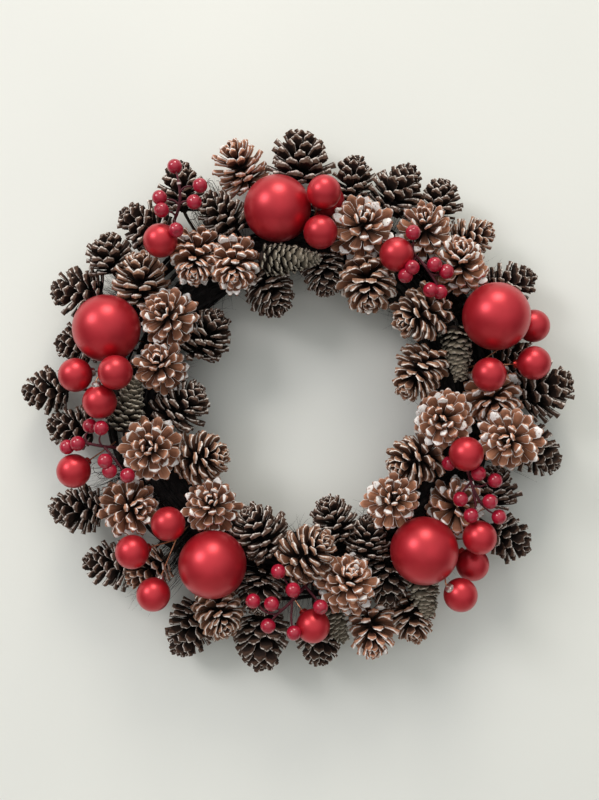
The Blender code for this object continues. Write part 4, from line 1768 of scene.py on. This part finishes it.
@dataclass
class TwigRing:
    """The ring of dark twigs and fine fibres that carries everything."""

    body_share: float = 0.86
    body_steps: tuple = (144, 20)
    strands: int = 56
    strand_points: int = 60
    strand_radius: float = 1.5 * MM
    strand_sweep: float = 0.9
    strand_turns: float = 5.0
    strand_wave: float = 1.3 * MM
    strand_ripple: tuple = (40, 7)
    strand_lift: float = 0.6 * MM
    strand_taper: tuple = (0.8, 4)
    fibres: int = 2900
    fibre_points: int = 5
    fibre_radius: float = 0.30 * MM
    fibre_length: tuple = (14 * MM, 42 * MM)
    fibre_slant: float = 0.55
    fibre_foot: float = 0.8
    fibre_rise: tuple = (1.0 * MM, 26 * MM)
    fibre_rarity: float = 2.2
    fibre_bend: float = 1.4
    fibre_sway: float = 0.02
    fibre_ripple: tuple = (9, 50)
    fibre_root: float = 1.1
    tuft_fibres: int = 60
    tuft_spread: float = 8 * MM
    tuft_ends: tuple = (0.6, 1.0)
    tuft_bow: float = 0.7
    tuft_reach: float = 1.1
    tuft_thick: float = 1.3
    mat_strands: int = 60
    mat_points: int = 44
    mat_radius: float = 2.0 * MM
    mat_width: float = 42 * MM
    mat_sweep: tuple = (0.5, 1.1)
    mat_wave: tuple = (1.5 * MM, 4.0 * MM)
    mat_ripple: tuple = (22, 9)
    mat_depth: tuple = (3 * MM, 13 * MM)
    mat_lift: float = 1.5 * MM
    mat_lift_ripple: tuple = (15, 5)
    mat_taper: tuple = (0.6, 6)
    curl_hairs: int = 7
    curl_points: int = 12
    curl_ends: tuple = (0.5, 0.4)
    curl_size: tuple = (3 * MM, 8 * MM)
    curl_sweep: tuple = (2.5, 5.5)
    curl_flat: float = 0.3
    curl_start: float = 1.7
    curl_thick: float = 0.9

    def body(self) -> bpy.types.Object:
        """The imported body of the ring, a little within its outside.

        Returns:
            The body.
        """
        obj = begin(
            "ring_body",
            bpy.ops.mesh.primitive_torus_add,
            major_radius=RING_RADIUS,
            minor_radius=RING_SECTION * self.body_share,
            major_segments=self.body_steps[0],
            minor_segments=self.body_steps[1],
            rotation=(math.pi / 2, 0.0, 0.0),
            location=(0.0, -RING_DEPTH, -RING_DROP),
        )
        place_in_mesh(obj, Matrix.Identity(4))
        bpy.ops.object.shade_smooth()
        return obj

    def tube_set(
        self, lines: np.ndarray, radii: np.ndarray | float, sides: int, name: str
    ) -> bpy.types.Object:
        """Thin tapered tubes along many lines at once, kept in front of the wall.

        Args:
            lines: An array of lines, points and coordinates.
            radii: The radius at each point of each line, or of all of them.
            sides: How many sides each tube has.
            name: The object's name.

        Returns:
            One object with a closed tube for each line.
        """
        count, steps, _ = lines.shape
        lines[..., 1] = np.minimum(lines[..., 1], -self.strand_radius)
        radii = np.broadcast_to(radii, (count, steps))
        ways = np.gradient(lines, axis=1)
        ways /= np.linalg.norm(ways, axis=2, keepdims=True) + TINY
        helper = np.where(np.abs(ways[..., 2:3]) < 0.9, (0.0, 0.0, 1.0), (1.0, 0.0, 0.0))
        first = np.cross(ways, helper)
        first /= np.linalg.norm(first, axis=2, keepdims=True) + TINY
        second = np.cross(ways, first)
        turns = 2 * math.pi * np.arange(sides) / sides
        ring = (
            first[:, :, None, :] * np.cos(turns)[None, None, :, None]
            + second[:, :, None, :] * np.sin(turns)[None, None, :, None]
        )
        points = lines[:, :, None, :] + ring * radii[:, :, None, None]
        index = np.arange(count * steps * sides).reshape(count, steps, sides)
        a, b = index[:, :-1], index[:, 1:]
        c, d = np.roll(b, -1, axis=2), np.roll(a, -1, axis=2)
        faces = np.stack([a, b, c, d], axis=-1).reshape(-1, 4).tolist()
        faces += index[:, 0, :].tolist()
        faces += index[:, -1, ::-1].tolist()
        return from_arrays(name, points, faces)

    def on_ring(self, along: np.ndarray, round_it: np.ndarray, off: np.ndarray) -> np.ndarray:
        """Points at an angle along the ring, an angle round its section and a radius off it.

        Args:
            along: Angles along the ring.
            round_it: Angles round the section.
            off: Radii from the centre line.

        Returns:
            The points.
        """
        out = RING_RADIUS + off * np.cos(round_it)
        back = -RING_DEPTH - off * np.sin(round_it)
        return np.stack([out * np.cos(along), back, out * np.sin(along) - RING_DROP], axis=-1)

    @staticmethod
    def ripple(share: np.ndarray, start: np.ndarray, often: float, shift: float) -> np.ndarray:
        """A wave along each line, which starts at a height of its own."""
        return np.sin(share * often + start * shift)

    @staticmethod
    def taper(share: np.ndarray, loss: float, power: float) -> np.ndarray:
        """How thick a twig is along its length, as a share: it thins toward both ends."""
        return 1 - loss * np.abs(2 * share - 1) ** power

    def twigs(self, rng: np.random.Generator) -> bpy.types.Object:
        """The twigs, wound round the ring at a slant.

        Args:
            rng: The source of its random draws.

        Returns:
            The twigs as one mesh.
        """
        count = (self.strands, 1)
        share = np.linspace(0, 1, self.strand_points)[None, :]
        start = rng.random(count) * 2 * math.pi
        sweep = math.pi * (self.strand_sweep + rng.random(count))
        wound = rng.random(count) * 2 * math.pi
        turns = rng.normal(0, self.strand_turns, count)
        wave = self.strand_wave * self.ripple(share, start, *self.strand_ripple)
        off = RING_SECTION * self.body_share + wave + self.strand_lift
        lines = self.on_ring(start + sweep * share, wound + turns * share, off)
        radii = self.strand_radius * self.taper(share, *self.strand_taper)
        return self.tube_set(lines, radii, 6, "twigs")

    def mat(self, rng: np.random.Generator) -> bpy.types.Object:
        """Long twigs laid flat outside the ring, which close the view between the cones.

        Args:
            rng: The source of its random draws.

        Returns:
            The twigs as one mesh.
        """
        count = (self.mat_strands, 1)
        share = np.linspace(0, 1, self.mat_points)[None, :]
        start = rng.random(count) * 2 * math.pi
        angle = start + math.pi * rng.uniform(*self.mat_sweep, count) * share
        out = RING_RADIUS + self.mat_width * rng.random(count)
        wave = rng.uniform(*self.mat_wave, count)
        out = out + wave * self.ripple(share, start, *self.mat_ripple)
        lift = self.mat_lift * self.ripple(share, start, *self.mat_lift_ripple)
        depth = np.maximum(rng.uniform(*self.mat_depth, count) + lift, self.mat_radius)
        spots = (out * np.cos(angle), -depth, out * np.sin(angle) - RING_DROP)
        radii = self.mat_radius * self.taper(share, *self.mat_taper)
        return self.tube_set(np.stack(spots, axis=-1), radii, 5, "mat")

    def bristles(self, rng: np.random.Generator) -> bpy.types.Object:
        """Fine fibres that stand off the ring, bent along it.

        Args:
            rng: The source of its random draws.

        Returns:
            The fibres as one mesh.
        """
        count = (self.fibres, 1)
        share = np.linspace(0, 1, self.fibre_points)[None, :]
        start = rng.random(count) * 2 * math.pi
        length = rng.uniform(*self.fibre_length, count)
        slant = rng.normal(0, self.fibre_slant, count)
        sweep = length / RING_RADIUS * np.cos(slant) * np.sign(rng.random(count) - 0.5)
        wound = rng.random(count) * 2 * math.pi
        turn = length / RING_SECTION * np.sin(slant)
        least, more = self.fibre_rise
        rise = more * rng.random(count) ** self.fibre_rarity + least
        off = RING_SECTION * self.fibre_foot + rise * share**self.fibre_bend
        sway = self.fibre_sway * self.ripple(share, start, *self.fibre_ripple)
        lines = self.on_ring(start + sweep * share + sway * share, wound + turn * share, off)
        radii = self.fibre_radius * (self.fibre_root - share)
        return self.tube_set(lines, radii, 3, "bristles")

    def fibre_ends(
        self, place: tuple, spreads: tuple, count: int, rng: np.random.Generator
    ) -> tuple:
        """Where fibres start in the ring, and where they end between the cones.

        Args:
            place: The middle of their ends, on the front view, and its depth.
            spreads: How far the starts and the ends are apart.
            count: How many fibres there are.
            rng: The source of its random draws.

        Returns:
            The starts and the ends.
        """
        middle = front(*place)
        spots = zip((ring_middle(middle), middle), spreads)
        return tuple(
            np.array(hung(spot)) + rng.normal(0, spread, (count, 1, 3)) * self.tuft_spread
            for spot, spread in spots
        )

    def tufts(self, rng: np.random.Generator) -> bpy.types.Object:
        """Bunches of fibre pushed out from the ring between the cones.

        Args:
            rng: The source of its random draws.

        Returns:
            The fibres as one mesh.
        """
        share = np.linspace(0, 1, self.fibre_points)[None, :, None]
        lines = []
        for place in TUFTS:
            start, end = self.fibre_ends(place, self.tuft_ends, self.tuft_fibres, rng)
            bow = rng.normal(0, self.tuft_bow, start.shape) * self.tuft_spread
            along = (end - start) * share * self.tuft_reach
            lines.append(start + along + bow * np.sin(share * math.pi))
        radii = self.fibre_radius * self.tuft_thick * (self.fibre_root - share[..., 0])
        return self.tube_set(np.concatenate(lines), radii, 3, "tufts")

    def curls(self, rng: np.random.Generator) -> bpy.types.Object:
        """Single fibres that end in a curl clear of the cones.

        Args:
            rng: The source of its random draws.

        Returns:
            The fibres as one mesh.
        """
        share = np.linspace(0, 1, self.curl_points)[None, :, None]
        count = (self.curl_hairs, 1, 1)
        lines = []
        for place in CURLS:
            start, end = self.fibre_ends(place, self.curl_ends, self.curl_hairs, rng)
            size = rng.uniform(*self.curl_size, count)
            sweep = rng.uniform(*self.curl_sweep, count) * rng.choice((-1.0, 1.0), count)
            angle = rng.uniform(0, 2 * math.pi, count) + sweep * share
            flat = self.curl_flat * np.sin(angle)
            curl = np.concatenate([np.cos(angle), flat, np.sin(angle)], axis=2)
            along = (end - start) * np.minimum(share * self.curl_start, 1.0)
            lines.append(start + along + curl * size * share)
        radius = self.fibre_radius * self.curl_thick
        return self.tube_set(np.concatenate(lines), radius, 3, "curls")

    def build(self) -> bpy.types.Object:
        """The whole ring as one piece.

        Returns:
            The finished piece.
        """
        rng = np.random.default_rng(SEED)
        look = TWIG.material()
        parts = [self.body(), self.twigs(rng), self.mat(rng), self.bristles(rng)]
        parts += [self.tufts(rng), self.curls(rng)]
        for part in parts:
            dress(part, look)
        return mount(join("twig_ring_fibres", parts), "dark_twig", "twig_ring")


@dataclass
class HangingLoop:
    """The wire loop behind the top of the ring."""

    copper: bpy.types.Material
    foot: float = 9 * MM
    arc_steps: int = 14

    def build(self) -> bpy.types.Object:
        """The loop, its feet pushed into the ring.

        Returns:
            The finished piece.
        """
        half = LOOP_WIDTH / 2
        top = LOOP_WIRE_RADIUS
        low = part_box("hanging_loop")[0].z - self.foot
        points = [Vector((-half, -LOOP_DEPTH, low))]
        for i in range(self.arc_steps + 1):
            angle = math.pi * (1 - i / self.arc_steps)
            x, z = half * math.cos(angle), top - half + half * math.sin(angle)
            points.append(Vector((x, -LOOP_DEPTH, z)))
        points.append(Vector((half, -LOOP_DEPTH, low)))
        loop = wire("wire_loop", points, LOOP_WIRE_RADIUS, sides=3)
        dress(loop, self.copper)
        return mount(loop, "copper_wire", "hanging_loop")


# Caps that don't point at their knot: group and bauble, and the way they point
CAP_WAYS = {
    (2, 3): (-0.12, -0.30, 1.0),
    (5, 3): (-0.70, -0.50, 0.48),
}


@dataclass
class BaubleMaker:
    """Builds the satin baubles with their caps, rings and wires."""

    effects: Effects
    copper: bpy.types.Material
    neck_share: float = 0.16
    neck_rise: float = 0.03
    top_half: float = 0.5
    cap_crimps: int = 14
    crimp: float = 1.16
    cap_radius: tuple = (0.095, 0.8 * MM)
    cap_height: tuple = (0.06, 1.4 * MM)
    cap_middle: float = 0.35
    cap_round: float = 0.18
    cap_sharp: float = 35.0
    ring_radius: tuple = (0.035, 0.8 * MM)
    ring_height: float = 0.95
    ring_wire: float = 0.35 * MM
    tie_radius: float = 0.65 * MM
    tie_start: float = 0.56
    tie_knee: float = 0.2
    twist_steps: int = 18
    twist_turn: float = 1.1
    twist_radius: float = 0.6 * MM
    twist_wire: float = 0.45 * MM

    def __post_init__(self) -> None:
        """Model one big and one small bauble, and dress them."""
        self.satin = SATIN.material()
        self.silver = SILVER.material(self.effects)
        self.red_metal = RED_METAL.material(self.effects)
        self.big = self.ball(BIG_BAUBLE, 64, 40)
        self.small = self.ball(SMALL_BAUBLE, 48, 28)

    def ball(self, size: float, around: int, rows: int) -> bpy.types.Object:
        """A glass ball whose top is drawn up to a short neck, along +Z.

        Args:
            size: Its diameter.
            around: How many segments it has.
            rows: How many rings of faces.

        Returns:
            The ball, about the origin.
        """
        radius = size / 2
        obj = begin(
            "ball",
            bpy.ops.mesh.primitive_uv_sphere_add,
            segments=around,
            ring_count=rows,
            radius=radius,
        )
        neck = radius * self.neck_share
        with editing(obj):
            above = radius * self.top_half
            pick(obj, lambda co: co.z > above and math.hypot(co.x, co.y) < neck)
            bpy.ops.mesh.extrude_region_move(
                TRANSFORM_OT_translate={"value": (0.0, 0.0, size * self.neck_rise)}
            )
        bpy.ops.object.shade_smooth()
        return dress(obj, self.satin)

    def cap(self, size: float) -> bpy.types.Object:
        """A crimped metal cap along +Z, with its ring, about the ball's top.

        Args:
            size: The ball's diameter.

        Returns:
            The cap.
        """
        sizes = (self.cap_radius, self.cap_height, self.ring_radius)
        radius, height, ring = (size * share + more for share, more in sizes)
        obj = begin(
            "cap",
            bpy.ops.mesh.primitive_cylinder_add,
            vertices=self.cap_crimps * 2,
            radius=radius,
            depth=height,
            location=(0.0, 0.0, size / 2 + height * self.cap_middle),
        )
        place_in_mesh(obj, Matrix.Identity(4))
        low = size / 2
        with editing(obj):
            step = math.pi / self.cap_crimps
            pick(obj, lambda co: co.z < low and round(math.atan2(co.y, co.x) / step) % 2 == 0)
            bpy.ops.transform.resize(value=(self.crimp, self.crimp, 1.0))
            pick(obj, lambda co: co.z > low)
            bpy.ops.mesh.bevel(offset=height * self.cap_round, segments=2, affect="EDGES")
        loop = begin(
            "cap_ring",
            bpy.ops.mesh.primitive_torus_add,
            major_radius=ring,
            minor_radius=self.ring_wire,
            major_segments=20,
            minor_segments=6,
            rotation=(math.pi / 2, 0.0, 0.0),
            location=(0.0, 0.0, size / 2 + height * self.ring_height),
        )
        place_in_mesh(loop, Matrix.Identity(4))
        joined = join("cap", [obj, loop])
        bpy.ops.object.shade_smooth_by_angle(angle=math.radians(self.cap_sharp))
        return joined

    def bauble(
        self,
        centre: Vector,
        toward: Vector,
        big: bool,
        cap_look: bpy.types.Material,
        cap_way: tuple | None = None,
    ) -> list:
        """One bauble in its place, its cap turned toward a point.

        Args:
            centre: The bauble's middle, about the wreath's centre.
            toward: Where its wire goes.
            big: Whether it is one of the big ones.
            cap_look: The cap's material.
            cap_way: The way its cap points, if not toward that point.

        Returns:
            Its pieces.
        """
        size = BIG_BAUBLE if big else SMALL_BAUBLE
        way = Vector(cap_way or toward - centre).normalized()
        matrix = aligned(hung(centre), way)
        ball = copy_of(self.big if big else self.small, "ball", matrix)
        cap = dress(place_in_mesh(self.cap(size), matrix), cap_look)
        start = centre + way * size * self.tie_start
        knee = start + way * size * self.tie_knee
        tie = kneed_wire("tie", start, knee, toward, self.tie_radius)
        return [ball, cap, dress(tie, self.copper)]

    def build_big(self, number: int, place: tuple) -> bpy.types.Object:
        """A big bauble, wired to the ring.

        Args:
            number: Its number, from 1.
            place: Its place on the front view and depth.

        Returns:
            The finished piece.
        """
        centre = front(*place)
        parts = self.bauble(centre, ring_middle(centre), True, self.silver)
        piece = join(f"large_bauble_{number}", parts)
        return mount(piece, "bauble_red", f"big_bauble_{number}")

    def build_trio(self, number: int, trio: tuple) -> bpy.types.Object:
        """Three small baubles whose wires meet in a knot.

        Args:
            number: The group's number, from 1.
            trio: The places of the baubles, then of the knot.

        Returns:
            The finished piece.
        """
        knot = front(*trio[-1])
        looks = (self.silver, self.red_metal, self.silver)
        parts = []
        for order, (place, look) in enumerate(zip(trio[:-1], looks), 1):
            cap_way = CAP_WAYS.get((number, order))
            parts += self.bauble(front(*place), knot, False, look, cap_way)
        parts.append(self.twist(knot, ring_middle(knot)))
        piece = join(f"small_baubles_{number}", parts)
        return mount(piece, "bauble_red", f"bauble_trio_{number}")

    def twist(self, start: Vector, end: Vector) -> bpy.types.Object:
        """Three wires twisted together from a knot to the ring.

        Args:
            start: The knot.
            end: The place on the ring.

        Returns:
            The wires as one mesh.
        """
        way = end - start
        side = way.orthogonal().normalized()
        other = way.cross(side).normalized()
        wires = []
        for strand in range(3):
            points = []
            for step in range(self.twist_steps + 1):
                angle = step * self.twist_turn + strand * 2 * math.pi / 3
                off = side * math.cos(angle) + other * math.sin(angle)
                spot = start + way * step / self.twist_steps + off * self.twist_radius
                points.append(hung(spot))
            wires.append(wire("strand", points, self.twist_wire, sides=1))
        return dress(join("twist", wires), self.copper)

    def finish(self) -> None:
        """Take the two patterns away."""
        bpy.data.objects.remove(self.big)
        bpy.data.objects.remove(self.small)


# Stems of each spray, the one from the ring first: places on the front view and depths
STEMS = (
    (((196, 236, 34), (171, 227, 62), (178, 212, 78), (181, 198, 84), (179, 184, 86)),),
    (
        ((407, 250, 46), (416, 256, 74), (428, 269, 80), (437, 284, 80)),
        ((416, 256, 74), (410, 267, 80)),
    ),
    (
        ((466, 466, 46), (470, 478, 74), (473, 490, 80), (482, 505, 78)),
        ((471, 482, 76), (463, 491, 80)),
        ((473, 490, 80), (476, 506, 80)),
    ),
    (
        ((314, 576, 36), (305, 586, 66), (292, 602, 80), (276, 615, 82)),
        ((292, 602, 80), (291, 620, 82)),
        ((305, 586, 66), (317, 600, 78)),
    ),
    (
        ((128, 452, 36), (116, 447, 64), (104, 447, 80), (86, 443, 82)),
        ((104, 447, 80), (114, 457, 80), (121, 468, 80)),
    ),
)
# The spray whose stem shows its cut end
CUT_SPRAY = 1


def rounded(points: Sequence[Vector], times: int = 3) -> list:
    """The points of a line with its corners cut, which is how its wire runs.

    Args:
        points: The line's points.
        times: How often the corners are cut.

    Returns:
        The new points.
    """
    for _ in range(times):
        cut = [points[0]]
        for start, end in zip(points, points[1:]):
            cut += [start.lerp(end, 0.25), start.lerp(end, 0.75)]
        points = [*cut, points[-1]]
    return points


@dataclass
class SprayMaker:
    """Builds the sprays: glossy berries on dark red stems, with one small bauble each."""

    baubles: BaubleMaker
    around: int = 28
    rows: int = 18
    dimple: float = 0.9 * MM
    dimple_share: float = 0.97
    branch_back: int = 3
    bend: float = 0.3
    twig_taper: float = 0.7
    berry_grip: float = 0.42
    thin_stem: float = 1.2
    stem_taper: float = 0.8
    cut_width: float = 1.15

    def __post_init__(self) -> None:
        """Model one berry and dress the sprays."""
        self.red = GLOSS.material()
        self.stem = STEM.material()
        self.cut_end = CUT_END.material()
        radius = BERRY / 2
        self.pattern = begin(
            "berry",
            bpy.ops.mesh.primitive_uv_sphere_add,
            segments=self.around,
            ring_count=self.rows,
            radius=radius,
        )
        with editing(self.pattern):
            pick(self.pattern, lambda co: co.z < -radius * self.dimple_share)
            bpy.ops.transform.translate(value=(0.0, 0.0, self.dimple))
        bpy.ops.object.shade_smooth()
        dress(self.pattern, self.red)

    def stems(self, number: int) -> tuple:
        """The stems of a spray.

        Args:
            number: The spray's number, from 1.

        Returns:
            Their pieces, and for each of them the points that it runs through.
        """
        pieces, lines = [], []
        for order, row in enumerate(STEMS[number - 1]):
            places = [front(*place) for place in row]
            thick = TWIG_RADIUS * self.thin_stem
            if order == 0:
                thick = STEM_RADIUS
                places.insert(0, ring_middle(places[0]))
            line = [hung(place) for place in places]
            pieces.append(dress(wire("stem", line, thick, thick * self.stem_taper), self.stem))
            lines.append(rounded(places))
        if number == CUT_SPRAY:
            end, before = lines[0][-1], lines[0][-2]
            tip = end + (end - before).normalized() * STEM_RADIUS
            cut = wire("cut", [hung(before), hung(tip)], STEM_RADIUS * self.cut_width)
            pieces.append(dress(cut, self.cut_end))
        return pieces, lines

    def branch(self, lines: list, berry: Vector) -> tuple:
        """Where a berry's twig leaves the stems.

        Args:
            lines: The points of each stem.
            berry: The berry's middle.

        Returns:
            The place on the nearest stem, and the way that stem runs there.
        """
        line = min(lines, key=lambda row: min((point - berry).length for point in row))
        index = min(range(len(line)), key=lambda i: (line[i] - berry).length)
        index = max(1, index - self.branch_back)
        return line[index], (line[index] - line[index - 1]).normalized()

    def build(self, number: int, spray: Spray) -> bpy.types.Object:
        """One spray in its place.

        Args:
            number: The spray's number, from 1.
            spray: The spray.

        Returns:
            The finished piece.
        """
        parts, lines = self.stems(number)
        for place in spray.berries:
            berry = front(*place)
            base, along = self.branch(lines, berry)
            far = (berry - base).length
            way = (base - berry).normalized()
            ball = copy_of(self.pattern, "berry", aligned(hung(berry), way))
            bend = base + along * far * self.bend + (berry - base) * self.bend
            start = berry + way * BERRY * self.berry_grip
            line = [hung(base), hung(bend), hung(start)]
            twig = wire("twig", line, TWIG_RADIUS, TWIG_RADIUS * self.twig_taper)
            parts += [ball, dress(twig, self.stem)]
        root = front(*spray.root)
        parts += self.baubles.bauble(front(*spray.bauble), root, False, self.baubles.red_metal)
        piece = join(f"berries_{number}", parts)
        return mount(piece, "berry_red", f"berry_spray_{number}")

    def finish(self) -> None:
        """Take the pattern away."""
        bpy.data.objects.remove(self.pattern)


class Lamp(NamedTuple):
    """A soft square light: its name, place, size, power and colour."""

    name: str
    place: tuple
    size: float
    power: float
    tint: tuple


LAMPS = (
    Lamp("window", (-2.05, -2.0, 1.3), 1.05, 36.0, (1.0, 0.95, 0.97)),
    Lamp("ceiling", (0.15, -1.3, 2.4), 1.05, 38.0, (1.0, 0.93, 0.84)),
)


@dataclass
class Studio:
    """The wall, the floor, the lights and the camera."""

    camera_place: tuple = (-0.00176, -0.97, -0.1737)
    sensor: float = 36.0
    picture_height: int = 800
    wall_size: float = 4.0
    wall_gap: float = 1.0 * MM
    floor_drop: float = 1.9
    room_low: tuple = (0.14, 0.137, 0.14, 1.0)
    room_high: tuple = (1.00, 1.015, 1.02, 1.0)
    room_tilt: float = 0.55
    room_front: float = 0.85
    room_spread: tuple = (0.12, 1.05)
    room_strength: float = 1.0
    aim: tuple = (0.0, -0.05, -RING_DROP)

    def wall(self) -> None:
        """The pale wall behind the wreath, and the floor below."""
        wall = begin(
            "wall",
            bpy.ops.mesh.primitive_plane_add,
            size=self.wall_size,
            rotation=(math.pi / 2, 0.0, 0.0),
            location=(0.0, self.wall_gap, 0.0),
        )
        dress(wall, WALL.material())
        wall.visible_shadow = False
        floor = begin(
            "floor",
            bpy.ops.mesh.primitive_plane_add,
            size=self.wall_size,
            location=(0.0, 0.0, -self.floor_drop),
        )
        dress(floor, FLOOR.material())

    def light(self, lamp: Lamp) -> None:
        """Hang a light that faces the wreath.

        Args:
            lamp: The light.
        """
        data = bpy.data.lights.new(lamp.name, "AREA")
        data.shape = "SQUARE"
        data.size = lamp.size
        data.energy = lamp.power
        data.color = lamp.tint
        obj = new_object(lamp.name, data)
        obj.location = lamp.place
        aim = Vector(self.aim) - Vector(lamp.place)
        obj.rotation_euler = aim.to_track_quat("-Z", "Y").to_euler()

    def lights(self) -> None:
        """The window to the left, the lamp above, and the room."""
        for lamp in LAMPS:
            self.light(lamp)
        world = bpy.data.worlds.new("room")
        world.use_nodes = True
        back = world.node_tree.nodes["Background"]
        tree = Tree(world.node_tree)
        way = tree.add("SeparateXYZ")
        tree.feed(way, Vector=tree.add("TexCoord").outputs["Generated"])
        raised = tree.math("MULTIPLY", way.outputs["Z"], self.room_tilt)
        ahead = tree.math("MULTIPLY", way.outputs["Y"], self.room_front)
        lit = tree.between(tree.math("SUBTRACT", raised, ahead), *self.room_spread)
        tree.feed(back, Color=tree.mix(lit, self.room_low, self.room_high))
        back.inputs["Strength"].default_value = self.room_strength
        bpy.context.scene.world = world
        bpy.context.scene.view_settings.view_transform = "Standard"

    def camera(self) -> None:
        """The camera, square to the wall as in the photograph."""
        data = bpy.data.cameras.new("camera")
        data.sensor_width = self.sensor
        data.sensor_fit = "VERTICAL"
        data.sensor_height = self.sensor
        frame_height = self.picture_height * FRONT_UNIT
        data.lens = self.sensor * VIEW_DISTANCE / frame_height
        obj = new_object("camera", data)
        obj.location = self.camera_place
        obj.rotation_euler = (math.pi / 2, 0.0, 0.0)
        bpy.context.scene.camera = obj

    def build(self) -> None:
        """Set up everything."""
        self.wall()
        self.lights()
        self.camera()


def main() -> None:
    """Dress the wreath and set up the studio."""
    logging.basicConfig(level=logging.INFO, format="%(name)s: %(message)s")
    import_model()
    effects = Effects()
    copper = COPPER.material(effects)
    LOG.info("ring: %s", TwigRing().build().name)
    LOG.info("loop: %s", HangingLoop(copper).build().name)
    baubles = BaubleMaker(effects, copper)
    for number, place in enumerate(BIG_BAUBLES, 1):
        LOG.info("bauble: %s", baubles.build_big(number, place).name)
    for number, trio in enumerate(TRIOS, 1):
        LOG.info("trio: %s", baubles.build_trio(number, trio).name)
    sprays = SprayMaker(baubles)
    for number, spray in enumerate(SPRAYS, 1):
        LOG.info("spray: %s", sprays.build(number, spray).name)
    sprays.finish()
    baubles.finish()
    maker = ConeMaker(effects)
    for number, (cone, middle) in enumerate(zip(CONES, settle()), 1):
        LOG.info("cone: %s", maker.build(number, cone, middle, node_of(cone)).name)
    Studio().build()


if __name__ == "__main__":
    main()
